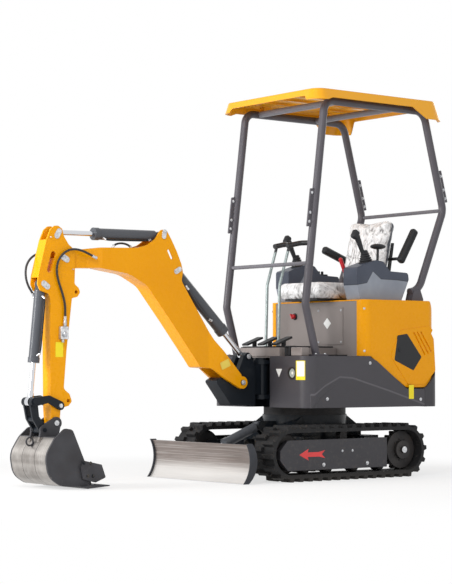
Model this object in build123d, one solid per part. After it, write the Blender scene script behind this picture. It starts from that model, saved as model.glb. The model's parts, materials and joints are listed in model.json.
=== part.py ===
from build123d import *

import os
from math import atan2, cos, degrees, hypot, pi, radians, sin, tan

# Mini excavator on rubber tracks, in millimetres. X points forward, to the blade, Y points to
# the operator's left and Z points up. Every place is drawn from the slewing axis at ground
# level, and the finished pieces are moved so that the origin is under the middle of the machine.

# Undercarriage
overall_width = 950
track_belt_width = 180
track_height = 330
track_rear_axle_x = -424
track_front_axle_x = 501
belt_thickness = 22
lug_height = 20
lug_length = 34
lug_tip_length = 22
lug_count = 38
sprocket_tooth_count = 16
sprocket_tooth_height = 20
sprocket_width = 44
roller_radius = 38
roller_places_x = (-250, -40, 170, 350)
top_roller_radius = 30
side_beam_width = 84
side_beam_wall = 8
side_beam_bottom = 126
side_beam_top = 222
axle_plate_bottom = 68
cover_rear_x = -266
cover_front_x = 582
cover_bottom = 66
cover_top = 245
cover_depth = 34
cover_wall = 5
cover_chamfer = 58
ring_radius = 255
ring_top = 428
ring_height = 46
frame_half_length = 300
frame_half_width = 262
frame_bottom = 170
leg_width = 120
leg_height = 86

# Dozer blade
blade_front_x = 850
blade_height = 225
blade_ground_gap = 3
blade_hollow = 30
blade_plate = 12
blade_end_plate = 8
blade_end_depth = 52
blade_pivot = (345, 200)
blade_arm_spacing = 330
blade_arm_width = 36
blade_arm_depth = 62
blade_cylinder_base = (372, 318)
blade_cylinder_eye = (742, 172)

# Upper structure
platform_bottom = 430
platform_plate = 20
panel_top = 740
panel_wall = 10
panel_half_width = 465
panel_front_x = 372
panel_corner_radius = 80
panel_rear_x = -585
crease_front = (276, 495)
crease_peak = (114, 597)
crease_rear = (-575, 419)
crease_lean = 11
crease_drop = 240
lamp_y = 319
lamp_z = 638
lamp_radius = 33
platform_recess_half_width = 112
hood_top = 1086
hood_half_width = 452
hood_wall = 8
hood_front_x = -88
hood_rear_top_x = -648
hood_rear_x = -700
hood_corner_radius = 55
hood_raise = 2.5
inset_depth = 4
hood_slots = (((-505, 885), (-596, 752)), ((-535, 888), (-626, 760)), ((-566, 890), (-652, 772)))
seat_box_half_width = hood_half_width - hood_corner_radius - 12
counterweight_rear_x = -712
counterweight_top = 690
deck_height = 52
deck_half_width = 200
console_inner_y = 262
console_width = 126
joystick_x = -222
joystick_y = 325
joystick_lean_deg = 26
seat_rear_x = -410
seat_front_x = 80
seat_width = 430
seat_back_middle = (-540, hood_top + 330)
seat_back_lean_deg = 12
armrest_pivot = (seat_back_middle[0] - 50, seat_back_middle[1] - 56)
armrest_y = 258
armrest_length = 250
armrest_width = 46
engine_length = 420
engine_width = 360
engine_height = 340
engine_front_x = -162

# Canopy
canopy_half_width = 380
canopy_tube_radius = 24
canopy_foot_x = 232
canopy_front_knee = (318, 1045)
canopy_top_z = 2286
canopy_front_top_x = 150
canopy_rear_top_x = -655
canopy_rear_knee = (-836, 1668)
canopy_rear_foot = (-560, 1160)
splice_front = (1520, 1750)
splice_rear = (1715, 1915)
splice_reach = 48
splice_half = 6
roof_top = canopy_top_z + 59
roof_skirt = 122
roof_edge_depth = 53
roof_front_lobe = 68
roof_corner = 110
roof_taper_deg = 18
roof_rib_y = 170
roof_wall = 6
roof_half_width = 492
roof_front_x = 322
roof_rear_x = -770

# Boom, arm and bucket, with pins as places in the upright plane of the machine
king_pin = 352
king_pin_radius = 30
bracket_plate = 24
boom_foot = (557, 581)
boom_cylinder_eye = (496, 737)
boom_cylinder_base = (1018, 1246)
arm_cylinder_base = (1128, 1440)
arm_pivot = (1795, 1280)
arm_cylinder_eye = (1846, 1431)
bucket_cylinder_base = (1940, 1137)
rocker_pivot = (1836, 459)
rocker_end = (2004, 482)
bucket_pivot = (1864, 363)
link_foot = (1942, 326)
lug_holes = ((1726, 1097), (1777, 486))
lug_hole_radius = 10
boom_half_width = 57
boom_foot_half_width = 80
boom_nose_half_width = 30
boom_plate = 9
arm_half_width = 40
arm_plate = 9
pin_radius = 15
small_pin_radius = 12
pin_fit = 0.06
side_gap = 0.5
eye_width = 36
eye_radius = 27
tube_radius = 33
boom_tube_radius = 36
boom_tube_length = 520
arm_tube_length = 460
bucket_tube_length = 440
blade_tube_length = 285
rod_radius = 15
rod_clearance = 0.3
boss_radius = 24
gland_swell = 1.1
bucket_stroke_in = 116
stroke_spare = 32
rocker_plate = 12
link_half_width = 39
link_plate = 14
ear_inner = 41
ear_outer = 55
bucket_half_width = 190
bucket_side_wall = 10
bucket_shell = 9
bucket_floor_gap = 3
ring_place = (2006, 262)

# The turns, in degrees, that close the cylinders the most
boom_up_deg = 35
arm_out_deg = 65
blade_raise_deg = 22


# Basic shapes

def upright(face, y_low, y_high):
    # A face drawn in X and Z becomes a plate between two places in Y.
    return Pos(0, y_high, 0) * Rot(90, 0, 0) * extrude(face, y_high - y_low)


def corners_face(corners):
    # Each corner is (x, z) or (x, z, radius). A radius is kept within half of its two sides.
    ends = []
    for index, corner in enumerate(corners):
        here = Vector(corner[0], corner[1])
        to_last = Vector(*corners[index - 1][:2]) - here
        to_next = Vector(*corners[(index + 1) % len(corners)][:2]) - here
        half_turn = radians(to_last.get_angle(to_next)) / 2
        if len(corner) < 3 or half_turn > pi / 2 - 0.001:
            ends.append((here, here, here))
            continue
        run = min(corner[2] / tan(half_turn), to_last.length * 0.49, to_next.length * 0.49)
        radius = run * tan(half_turn)
        middle = (to_last.normalized() + to_next.normalized()).normalized()
        apex = here + middle * (radius / sin(half_turn) - radius)
        ends.append((here + to_last.normalized() * run, apex, here + to_next.normalized() * run))
    edges = []
    for index, (first, apex, last) in enumerate(ends):
        if (last - first).length > 0.001:
            edges.append(ThreePointArc(first, apex, last))
        following = ends[(index + 1) % len(ends)][0]
        if (following - last).length > 0.001:
            edges.append(Line(last, following))
    return make_face(edges)


def plate(corners, y_low, y_high):
    return upright(corners_face(corners), y_low, y_high)


def both_sides(corners, y_low, y_high):
    return plate(corners, y_low, y_high) + plate(corners, -y_high, -y_low)


def block(x_low, x_high, y_low, y_high, z_low, z_high):
    size = (x_high - x_low, y_high - y_low, z_high - z_low)
    middle = ((x_high + x_low) / 2, (y_high + y_low) / 2, (z_high + z_low) / 2)
    return Pos(*middle) * Box(*size)


def cross_pin(place, radius, y_low, y_high):
    return upright(Pos(place[0], place[1]) * Circle(radius), y_low, y_high)


def hull_face(circles):
    edges = ShapeList()
    for x, z, radius in circles:
        edges += (Pos(x, z) * Circle(radius)).edges()
    return make_hull(edges)


def hull_plate(circles, y_low, y_high):
    return upright(hull_face(circles), y_low, y_high)


def tube_along(points, radii, radius):
    path = FilletPolyline(*points, radius=radii)
    start = Plane(origin=path @ 0, z_dir=path % 0)
    return sweep(start * Circle(radius), path=path)


def distance(start, end):
    return hypot(end[0] - start[0], end[1] - start[1])


def direction_deg(start, end):
    return degrees(atan2(end[1] - start[1], end[0] - start[0]))


def turned(place, pivot, angle_deg):
    # Positive angles turn from X towards Z.
    angle = radians(angle_deg)
    x = place[0] - pivot[0]
    z = place[1] - pivot[1]
    return (pivot[0] + x * cos(angle) - z * sin(angle), pivot[1] + x * sin(angle) + z * cos(angle))


# Hydraulic cylinders, drawn along X from the base pin and then laid on their pins

def along_x(radius, start, end):
    return Pos(start, 0, 0) * Rot(0, 90, 0) * Cylinder(
        radius, end - start, align=(Align.CENTER, Align.CENTER, Align.MIN))


def cylinder_parts(base, eye, tube_length, stroke, outer, rod):
    # The tube with its bored base eye, and the rod with a plain eye that carries its own bush.
    rest = distance(base, eye)
    half = eye_width / 2
    shell_start = boss_radius + 10
    bore_start = shell_start + 12
    boss = upright(Circle(eye_radius) + Pos((shell_start + 6) / 2, 0) * Rectangle(
        shell_start + 6, eye_radius * 1.5), -half, half)
    tube = boss + along_x(outer, shell_start, tube_length)
    tube += along_x(outer * gland_swell, tube_length - outer, tube_length)
    tube -= along_x(rod + rod_clearance, bore_start, tube_length + 1)
    tube -= upright(Circle(pin_radius + pin_fit), -half - 1, half + 1)
    rod_start = bore_start + 6 + stroke
    bar = along_x(rod, rod_start, rest)
    neck = along_x(half - 1, rest - eye_radius - 22, rest - eye_radius + 6)
    head = Pos(rest, 0, 0) * upright(Circle(eye_radius), -half, half)
    place = Pos(base[0], 0, base[1]) * Rot(0, -direction_deg(base, eye), 0)
    return place * tube, place * (bar + neck + head)


# Tracks

belt_outer_radius = track_height / 2 - lug_height
belt_inner_radius = belt_outer_radius - belt_thickness
axle_z = track_height / 2
track_middle_y = overall_width / 2 - track_belt_width / 2
track_outer_y = overall_width / 2
track_inner_y = track_outer_y - track_belt_width


def loop_face(radius):
    length = track_front_axle_x - track_rear_axle_x
    middle = (track_front_axle_x + track_rear_axle_x) / 2
    return Pos(middle, axle_z) * SlotCenterToCenter(length, 2 * radius)


def belt_place(travel):
    # The place and outward direction on the belt's outer face after a travel from the top rear.
    straight = track_front_axle_x - track_rear_axle_x
    turn = pi * belt_outer_radius
    travel = travel % (2 * straight + 2 * turn)
    if travel < straight:
        return track_rear_axle_x + travel, axle_z + belt_outer_radius, 90
    travel -= straight
    if travel < turn:
        angle = pi / 2 - travel / belt_outer_radius
        x = track_front_axle_x + belt_outer_radius * cos(angle)
        return x, axle_z + belt_outer_radius * sin(angle), degrees(angle)
    travel -= turn
    if travel < straight:
        return track_front_axle_x - travel, axle_z - belt_outer_radius, -90
    travel -= straight
    angle = -pi / 2 - travel / belt_outer_radius
    x = track_rear_axle_x + belt_outer_radius * cos(angle)
    return x, axle_z + belt_outer_radius * sin(angle), degrees(angle)


def lugged_loop(first_lug):
    straight = track_front_axle_x - track_rear_axle_x
    pitch = (2 * straight + 2 * pi * belt_outer_radius) / lug_count
    root = 4
    lug = make_face(Polyline(
        (-root, -lug_length / 2), (-root, lug_length / 2), (0, lug_length / 2),
        (lug_height, lug_tip_length / 2), (lug_height, -lug_tip_length / 2),
        (0, -lug_length / 2), close=True))
    lugs = []
    for index in range(lug_count):
        x, z, angle = belt_place((index + first_lug) * pitch)
        lugs.append(Pos(x, z) * Rot(0, 0, angle) * lug)
    return loop_face(belt_outer_radius) + lugs - loop_face(belt_inner_radius)


def track(side):
    outer = upright(lugged_loop(0), track_middle_y, track_outer_y)
    inner = upright(lugged_loop(0.5), track_inner_y, track_middle_y)
    loop = outer + inner
    return loop if side > 0 else mirror(loop, about=Plane.XZ)


def sprocket(side):
    tip = belt_inner_radius - 1
    root = tip - sprocket_tooth_height
    face = Circle(root)
    half_root = pi * root / sprocket_tooth_count * 0.62
    tooth = make_face(Polyline(
        (root - 6, -half_root), (root - 6, half_root), (tip, half_root * 0.45),
        (tip, -half_root * 0.45), close=True))
    face += [Rot(0, 0, index * 360 / sprocket_tooth_count) * tooth
             for index in range(sprocket_tooth_count)]
    y = track_middle_y
    wheel = upright(face, y - sprocket_width / 2, y + sprocket_width / 2)
    drum = upright(Circle(78), y - 80, y + 26)
    cap = upright(Circle(56), y + 26, y + 52)
    hub = upright(Circle(20), y + 52, y + 64)
    flange = upright(Circle(belt_inner_radius - 9), y + 22, y + 30)
    body = Pos(track_rear_axle_x, 0, axle_z) * (wheel + drum + cap + hub + flange)
    return body if side > 0 else mirror(body, about=Plane.XZ)


def track_wheels():
    half = side_beam_width / 2 - side_beam_wall - side_gap
    y = track_middle_y
    wheels = []
    idler = revolve(make_face(Polyline(
        (0, -half), (40, -half), (40, -18), (belt_inner_radius - 14, -18),
        (belt_inner_radius - 1, -11), (belt_inner_radius - 1, 11),
        (belt_inner_radius - 14, 18), (40, 18), (40, half), (0, half), close=True)), axis=Axis.Y)
    wheels.append(Pos(track_front_axle_x, y, axle_z) * idler)
    bottom = axle_z - belt_inner_radius
    top = axle_z + belt_inner_radius
    profile = Polyline(
        (0, -half), (roller_radius - 8, -half), (roller_radius, -half + 8), (roller_radius, -10),
        (roller_radius - 8, -6), (roller_radius - 8, 6), (roller_radius, 10),
        (roller_radius, half - 8), (roller_radius - 8, half), (0, half), close=True)
    roller = revolve(make_face(profile), axis=Axis.Y)
    for x in roller_places_x:
        wheels.append(Pos(x, y, bottom + roller_radius + 0.3) * roller)
    top_roller = upright(Circle(top_roller_radius), -20, 20)
    wheels.append(Pos(40, y, top - top_roller_radius - 0.3) * top_roller)
    return Compound(wheels + [mirror(wheel, about=Plane.XZ) for wheel in wheels])


def track_frame():
    half_length = frame_half_length
    ring_seat = ring_top - ring_height
    hub = Pos(0, 0, frame_bottom) * Cylinder(
        frame_half_width, ring_seat - frame_bottom, align=(Align.CENTER, Align.CENTER, Align.MIN))
    middle = plate(
        [(-half_length, frame_bottom, 20), (half_length, frame_bottom, 20),
         (half_length, 300, 20), (180, ring_seat - 6), (-180, ring_seat - 6),
         (-half_length, 300, 20)], -190, 190)
    body = hub + middle
    beam_inner = track_middle_y - side_beam_width / 2
    beam_outer = track_middle_y + side_beam_width / 2
    rear = track_rear_axle_x + 136
    front = track_front_axle_x + 30
    for side in (-1, 1):
        for x in (-half_length + leg_width / 2, half_length - leg_width / 2):
            low = min(side * 150, side * (beam_inner + 4))
            high = max(side * 150, side * (beam_inner + 4))
            body += block(x - leg_width / 2, x + leg_width / 2, low, high,
                          frame_bottom, frame_bottom + leg_height)
        low = min(side * beam_inner, side * beam_outer)
        high = max(side * beam_inner, side * beam_outer)
        fork = front - 160
        body += block(rear, fork, low, high, side_beam_bottom, side_beam_top)
        for y_low in (low, high - side_beam_wall):
            body += plate(
                [(rear, side_beam_top), (rear, axle_plate_bottom + 30), (rear + 40, axle_plate_bottom),
                 (front - 70, axle_plate_bottom), (front, side_beam_bottom),
                 (front, side_beam_top - 20), (front - 40, side_beam_top)],
                y_low, y_low + side_beam_wall)
        motor_low = min(side * (beam_inner - 10), side * (beam_inner + 12))
        motor_high = max(side * (beam_inner - 10), side * (beam_inner + 12))
        body += plate(
            [(rear + 60, side_beam_bottom), (rear + 60, side_beam_top),
             (track_rear_axle_x, axle_z + 84, 40), (track_rear_axle_x - 70, axle_z, 30),
             (track_rear_axle_x, axle_z - 84, 40)], motor_low, motor_high)
        body -= cross_pin((track_rear_axle_x, axle_z), 78.3, motor_low - 1, motor_high + 1)
    x, z = blade_pivot
    arm_y = blade_arm_spacing / 2
    for side in (-1, 1):
        for offset in (-1, 1):
            middle_y = side * arm_y + offset * (blade_arm_width / 2 + side_gap + 7)
            lug = hull_plate([(x, z, 30), (x - 70, z, 30)], middle_y - 7, middle_y + 7)
            body += lug
        body += cross_pin((x, z), pin_radius, side * arm_y - blade_arm_width / 2 - 14,
                          side * arm_y + blade_arm_width / 2 + 14)
    x, z = blade_cylinder_base
    for side in (-1, 1):
        low = min(side * (eye_width / 2 + side_gap), side * (eye_width / 2 + 14))
        high = max(side * (eye_width / 2 + side_gap), side * (eye_width / 2 + 14))
        ear = hull_face([(x, z, 26), (half_length - 40, z, 26), (half_length - 40, 230, 26)])
        body += upright(ear, low, high)
    body += cross_pin((x, z), pin_radius, -eye_width / 2 - 14, eye_width / 2 + 14)
    return body


def slew_bearing():
    low = ring_top - ring_height
    outer = Pos(0, 0, low) * Cylinder(ring_radius, ring_height, align=(Align.CENTER, Align.CENTER, Align.MIN))
    bore = Pos(0, 0, low) * Cylinder(ring_radius - 60, ring_height, align=(Align.CENTER, Align.CENTER, Align.MIN))
    return outer - bore


def track_cover(side):
    middle_z = (cover_bottom + cover_top) / 2
    outline = [
        (cover_rear_x, cover_bottom, 6), (cover_front_x - cover_chamfer, cover_bottom, 14),
        (cover_front_x, middle_z - 28, 14), (cover_front_x, middle_z + 28, 14),
        (cover_front_x - cover_chamfer, cover_top, 14), (cover_rear_x, cover_top, 6)]
    face = corners_face(outline)
    low = track_middle_y + side_beam_width / 2 + 0.3
    pan = upright(face, low, low + cover_depth)
    pan -= upright(offset(face, -cover_wall), low, low + cover_depth - cover_wall)
    return pan if side > 0 else mirror(pan, about=Plane.XZ)


# Dozer blade

def blade():
    low = blade_ground_gap
    high = low + blade_height
    bulge = blade_hollow
    front = ThreePointArc((blade_front_x, low), (blade_front_x - 15 - bulge, (low + high) / 2),
                          (blade_front_x - 18, high))
    rear = ThreePointArc((blade_front_x - blade_plate, low),
                         (blade_front_x - 15 - bulge - blade_plate, (low + high) / 2),
                         (blade_front_x - 18 - blade_plate, high))
    face = make_face([front, rear, Line(front @ 0, rear @ 0), Line(front @ 1, rear @ 1)])
    half = overall_width / 2
    body = upright(face, -half, half)
    end_front = ThreePointArc((blade_front_x + 14, low), (blade_front_x - 3 - bulge, (low + high) / 2),
                              (blade_front_x - 6, high + 6))
    end_rear = ThreePointArc((blade_front_x + 6 - blade_end_depth * 0.55, low),
                             (blade_front_x - 3 - bulge - blade_end_depth, (low + high) / 2),
                             (blade_front_x - 6 - blade_end_depth * 0.8, high + 6))
    end_face = make_face([end_front, end_rear, Line(end_front @ 0, end_rear @ 0),
                          Line(end_front @ 1, end_rear @ 1)])
    body += upright(end_face, half - blade_end_plate, half)
    body += upright(end_face, -half, -half + blade_end_plate)
    x, z = blade_pivot
    attach_x = blade_front_x - 15 - bulge
    arm_face = corners_face([
        (x, z - blade_arm_depth / 2), (attach_x, 62), (attach_x, 62 + blade_arm_depth + 30),
        (attach_x - 60, 62 + blade_arm_depth + 30, 30), (x, z + blade_arm_depth / 2)])
    arm_face += Pos(x, z) * Circle(blade_arm_depth / 2)
    arm_y = blade_arm_spacing / 2
    for side in (-1, 1):
        y = side * arm_y
        body += upright(arm_face, y - blade_arm_width / 2, y + blade_arm_width / 2)
    body -= cross_pin(blade_pivot, pin_radius + pin_fit, -half, half)
    ex, ez = blade_cylinder_eye
    brace = block(ex - 60, ex - 24, -arm_y, arm_y, 78, 122)
    body += brace
    ear = corners_face([
        (ex - 70, 80), (attach_x, 62), (attach_x, 190), (ex + 14, ez + 26), (ex - 20, ez + 26, 18),
        (ex - 44, ez - 10)])
    for side in (-1, 1):
        low_y = min(side * (eye_width / 2 + side_gap), side * (eye_width / 2 + 12))
        high_y = max(side * (eye_width / 2 + side_gap), side * (eye_width / 2 + 12))
        body += upright(ear, low_y, high_y)
        heads = [side * (eye_width / 2 + 12), side * (eye_width / 2 + 18)]
        body += cross_pin(blade_cylinder_eye, pin_radius, min(heads), max(heads))
    return body


# Upper structure

def plan_outline(half_width, front_x, rear_x, radius):
    return corners_face([
        (rear_x, -half_width), (front_x, -half_width, radius), (front_x, half_width, radius),
        (rear_x, half_width)])


def platform():
    floor_plan = plan_outline(panel_half_width - panel_wall - 0.3, panel_front_x - panel_wall - 0.3,
                              panel_rear_x, panel_corner_radius - panel_wall)
    base = Pos(0, 0, platform_bottom) * extrude(floor_plan, platform_plate)
    recess = block(panel_front_x - 150, panel_front_x + 1, -platform_recess_half_width,
                   platform_recess_half_width, platform_bottom - 1, panel_top)
    base -= recess
    ring = Pos(0, 0, ring_top + 0.3) * Cylinder(
        ring_radius - 20, platform_bottom + platform_plate - ring_top - 0.3,
        align=(Align.CENTER, Align.CENTER, Align.MIN))
    body = base + ring
    half = platform_recess_half_width
    for y_low in (-half, half - 20):
        body += block(-150, panel_front_x - panel_wall - 4, y_low, y_low + 20,
                      platform_bottom, panel_top - 12)
    body += block(panel_front_x - 170, panel_front_x - 150, -half, half, platform_bottom, panel_top - 12)
    for z_low, z_high in (lug_levels()[0], lug_levels()[1]):
        lug = hull_face([(king_pin, 0, 56), (panel_front_x - 160, -half + 60, 50),
                         (panel_front_x - 160, half - 60, 50)])
        body += Pos(0, 0, z_low) * extrude(lug, z_high - z_low)
    pin = Pos(king_pin, 0, lug_levels()[0][0]) * Cylinder(
        king_pin_radius, lug_levels()[1][1] + 12 - lug_levels()[0][0],
        align=(Align.CENTER, Align.CENTER, Align.MIN))
    cap = Pos(king_pin, 0, lug_levels()[1][1]) * Cylinder(
        44, 12, align=(Align.CENTER, Align.CENTER, Align.MIN))
    for y in (lamp_y, -lamp_y):
        body -= Pos(panel_front_x, y, lamp_z) * Rot(0, 90, 0) * Cylinder(lamp_radius + 8, 80)
    return body + pin + cap


def lug_levels():
    # Lower and upper lug of the king post, between which the swing bracket's barrel turns.
    return (478, 506), (690, 716)


def side_panels():
    outer = plan_outline(panel_half_width, panel_front_x, panel_rear_x, panel_corner_radius)
    inner = plan_outline(panel_half_width - panel_wall, panel_front_x - panel_wall,
                         panel_rear_x - 1, panel_corner_radius - panel_wall)
    height = panel_top - platform_bottom
    wall = Pos(0, 0, platform_bottom) * extrude(outer - inner, height)
    wall -= block(panel_front_x - 100, panel_front_x + 1, -platform_recess_half_width,
                  platform_recess_half_width, platform_bottom - 1, panel_top + 1)
    wall -= both_sides(
        [(-132, panel_top + 1), (-132, panel_top - 8), (-184, panel_top - 30, 12),
         (-432, 540, 40), (-592, 540, 30), (-640, 600), (-640, panel_top + 1)],
        panel_half_width - panel_wall - 1, panel_half_width + 1)
    for y in (lamp_y, -lamp_y):
        wall -= Pos(panel_front_x, y, lamp_z) * Rot(0, 90, 0) * Cylinder(lamp_radius + 1, 3 * panel_wall)
    return wall - crease_cut(1) - crease_cut(-1)


def crease_cut(side):
    # Below its crease the panel leans inwards towards the ground.
    peak, rear = crease_peak, crease_rear
    reach = distance(rear, peak)
    along = ((rear[0] - peak[0]) / reach, 0, (rear[1] - peak[1]) / reach)
    plane = Plane(origin=(peak[0], panel_half_width, peak[1]), x_dir=(0, -1, 0), z_dir=along)
    wedge = make_face(Polyline((-2, 0), (0, 0), (crease_lean, -crease_drop), (-2, -crease_drop), close=True))
    prism = extrude(plane * wedge, reach + 200) + extrude(plane * wedge, -200)
    field = plate([crease_front, peak, (rear[0], rear[1]), (rear[0], platform_bottom - 10),
                   (crease_front[0] + 60, platform_bottom - 10)], panel_half_width - 12, panel_half_width + 3)
    cut = prism & field
    return cut if side > 0 else mirror(cut, about=Plane.XZ)


def hood_profile():
    return [
        (hood_front_x, panel_top + 1, 4), (-146, panel_top - 1, 10), (-196, panel_top - 36, 16),
        (-440, 548, 40), (-600, 548, 30), (hood_rear_x + 4, 640, 20), (hood_rear_x, 822, 8),
        (-662, 858, 8), (-650, 890, 10), (-676, 914, 8), (-684, 1020, 20),
        (hood_rear_top_x, hood_top, 24), (hood_front_x, hood_top, 6)]


def engine_hood():
    face = corners_face(hood_profile())
    body = upright(face, -hood_half_width, hood_half_width)
    plan = corners_face([
        (hood_rear_x - 1, -hood_half_width, 70), (hood_front_x, -hood_half_width, hood_corner_radius),
        (hood_front_x, hood_half_width, hood_corner_radius), (hood_rear_x - 1, hood_half_width, 70)])
    body = body & (Pos(0, 0, 400) * extrude(plan, 800))
    inner_face = offset(face, -hood_wall)
    inner_half = hood_half_width - hood_wall
    inner_plan = corners_face([
        (hood_rear_x + hood_wall, -inner_half, 62),
        (hood_front_x - hood_wall, -inner_half, hood_corner_radius - hood_wall),
        (hood_front_x - hood_wall, inner_half, hood_corner_radius - hood_wall),
        (hood_rear_x + hood_wall, inner_half, 62)])
    hollow = upright(inner_face, -inner_half, inner_half) & (Pos(0, 0, 400) * extrude(inner_plan, 800))
    body -= hollow
    body -= block(-690, -120, -inner_half + 22, inner_half - 22, 500, 760)
    body -= block(-170, hood_front_x + 1, -seat_box_half_width - 0.3, seat_box_half_width + 0.3,
                  panel_top - 10, hood_top - hood_wall + 0.01)
    raised = corners_face([
        (-306, 742, 20), (-392, 902, 24), (-640, 930, 20), (-668, 905, 8), (-654, 884, 8),
        (-676, 848, 8), (-690, 650, 20), (-600, 566, 30), (-455, 566, 30)])
    deep = hood_half_width - inset_depth
    for low_y, high_y in ((hood_half_width - 1, hood_half_width + hood_raise),
                          (-hood_half_width - hood_raise, -hood_half_width + 1)):
        body += upright(raised, low_y, high_y)
    cut = hood_half_width + hood_raise + 1
    for face in [inset_face()] + [slot_face(start, end) for start, end in hood_slots]:
        body -= upright(face, deep, cut) + upright(face, -cut, -deep)
    return body


def inset_face():
    return corners_face([
        (-366, 868, 10), (-446, 880, 10), (-570, 736, 10), (-500, 652, 10), (-338, 716, 10)])


def slot_face(start, end):
    return make_hull((Pos(*start) * Circle(5)).edges() + (Pos(*end) * Circle(5)).edges())


def hood_insets():
    face = offset(inset_face(), -0.5)
    low = hood_half_width - inset_depth + 0.2
    high = hood_half_width + hood_raise
    return upright(face, low, high) + upright(face, -high, -low)


def work_lamps():
    # Round lamps let into the front panel, each a dished housing with a domed lens.
    lamps = []
    for y in (lamp_y, -lamp_y):
        housing = Cylinder(lamp_radius, 34) - Pos(0, 0, 12) * Cylinder(lamp_radius - 4, 24)
        housing += Pos(0, 0, 15.5) * (Cylinder(lamp_radius + 5, 3) - Cylinder(lamp_radius - 4, 4))
        lens = Pos(0, 0, 6) * Cylinder(lamp_radius - 5, 10)
        lamp = housing + lens + Cylinder(8, 20)
        lamps.append(Pos(panel_front_x - 13.7, y, lamp_z) * Rot(0, 90, 0) * lamp)
    return Compound(lamps)


def counterweight():
    rear = counterweight_rear_x
    front = panel_rear_x - 2
    half = panel_half_width
    plan = corners_face([
        (rear, -half, 110), (front, -half), (front, half), (rear, half, 110)])
    body = Pos(0, 0, platform_bottom - 2) * extrude(plan, counterweight_top - platform_bottom)
    profile = corners_face([
        (rear + 26, platform_bottom - 2, 8), (rear, 520, 60), (rear, 600, 60),
        (rear + 14, counterweight_top, 4), (front, counterweight_top), (front, platform_bottom - 2)])
    body = body & upright(profile, -half, half)
    return body - upright(offset(corners_face(hood_profile()), 1), -half - 1, half + 1)


def seat_box():
    half = seat_box_half_width
    panel = block(hood_front_x - 12, hood_front_x - 2, -half, half, panel_top - 8, hood_top - hood_wall - 0.3)
    cover = block(hood_front_x - 2, hood_front_x + 3, 20, 262, 812, 1040)
    return panel + cover


def engine_block():
    low = platform_bottom + platform_plate + 0.3
    return block(engine_front_x - engine_length, engine_front_x, -engine_width / 2, engine_width / 2,
                 low, low + engine_height)


def floor_deck():
    front = panel_front_x - 2
    wall_inner = panel_front_x - panel_wall - 0.5
    base_plan = plan_outline(panel_half_width - panel_wall - 0.5, panel_front_x - panel_wall - 0.5,
                             hood_front_x + 4, panel_corner_radius - panel_wall)
    base = Pos(0, 0, panel_top - 10) * extrude(base_plan, 9.5)
    deck = block(hood_front_x + 4, wall_inner, -deck_half_width, deck_half_width,
                 panel_top - 0.5, panel_top + deck_height)
    deck += block(wall_inner, front, -deck_half_width, deck_half_width,
                  panel_top + 0.3, panel_top + deck_height)
    return base + deck


# Operator's place

def seat_cushion():
    pad = block(seat_rear_x, seat_front_x, -seat_width / 2, seat_width / 2, hood_top + 12, hood_top + 112)
    return fillet(pad.edges(), 34)


def seat_back():
    x, z = seat_back_middle
    body = Pos(x, 0, z) * Rot(0, -seat_back_lean_deg, 0) * Box(95, 400, 420)
    return fillet(body.edges(), 34)


def seat_frame():
    # The rails under the cushion, the brackets behind the back, and the armrests they carry.
    low = hood_top + 0.5
    x, z = seat_back_middle
    rail_top = hood_top + 11.5
    body = block(seat_rear_x + 20, seat_front_x - 50, -150, 150, low, rail_top)
    for y_low in (-158, 150):
        body += plate(
            [(-140, low), (-140, rail_top - 0.5), (x + 62, rail_top - 0.5), (x - 3.3, z - 216),
             (x - 59.6, z + 48), (x - 80, z + 48), (x - 33, z - 220), (x - 8, low)],
            y_low, y_low + 8)
    body += cross_pin(armrest_pivot, 10, -armrest_y, armrest_y)
    for side, lean in ((-1, -70), (1, 32)):
        y = side * armrest_y
        rest = fillet(Box(armrest_length, armrest_width, 50).edges(), 18)
        rest = Rot(0, -90 - lean, 0) * Pos(armrest_length / 2 - 30, 0, 0) * rest
        rest = Pos(armrest_pivot[0], y, armrest_pivot[1]) * rest
        body += rest
    return body


def console(side):
    low = hood_top + 0.5
    face = corners_face([
        (-120, low), (-92, low + 96, 20), (-92, low + 196, 18), (-250, low + 246, 30),
        (-310, low + 238, 30), (-366, low + 180, 30), (-520, low + 174, 20), (-526, low + 132, 16),
        (-462, low)])
    inner = console_inner_y if side > 0 else -console_inner_y - console_width
    return upright(face, inner, inner + console_width)


def consoles():
    return Compound([console(1), console(-1)])


def joysticks():
    # Each stick has a ribbed boot, a waisted grip that leans forward, and a head bent over it.
    base = Pos(joystick_x, 0, hood_top + 0.5 + 238)
    rings = [(0, 0), (44, 0), (44, 8)]
    for step in range(4):
        rings += [(34 - 4 * step, 13 + 14 * step), (40 - 4 * step, 20 + 14 * step)]
    rings += [(18, 74), (0, 74)]
    boot = revolve(Plane.XZ * make_face(Polyline(*rings, close=True)), axis=Axis.Z)
    boot = Pos(0, 0, -14) * Rot(0, joystick_lean_deg / 3, 0) * boot
    grip = Pos(0, 0, 62) * Cone(13, 19, 110, align=(Align.CENTER, Align.CENTER, Align.MIN))
    grip += Pos(0, 0, 20) * Cylinder(13, 44, align=(Align.CENTER, Align.CENTER, Align.MIN))
    grip += Pos(8, 0, 186) * Rot(0, 35, 0) * fillet(Box(58, 40, 44).edges(), 15)
    stick = Pos(0, 0, 0) * Rot(0, joystick_lean_deg, 0) * grip
    body = base * (boot + stick)
    body -= block(-600, 100, -60, 60, hood_top, hood_top + 0.5 + 246.3)
    return Compound([Pos(0, joystick_y, 0) * body, Pos(0, -joystick_y, 0) * body])


def travel_levers():
    levers = []
    floor = panel_top + deck_height + 0.3
    for side in (-1, 1):
        y = side * 60
        rod = tube_along([(262, y, floor), (250, y, 1180), (172, y, 1424)], 60, 9)
        grip = tube_along([(190, y, 1420), (90, y + side * 10, 1440), (60, y + side * 60, 1440)],
                          30, 16)
        levers.append(rod + grip)
    return Compound(levers)


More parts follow.
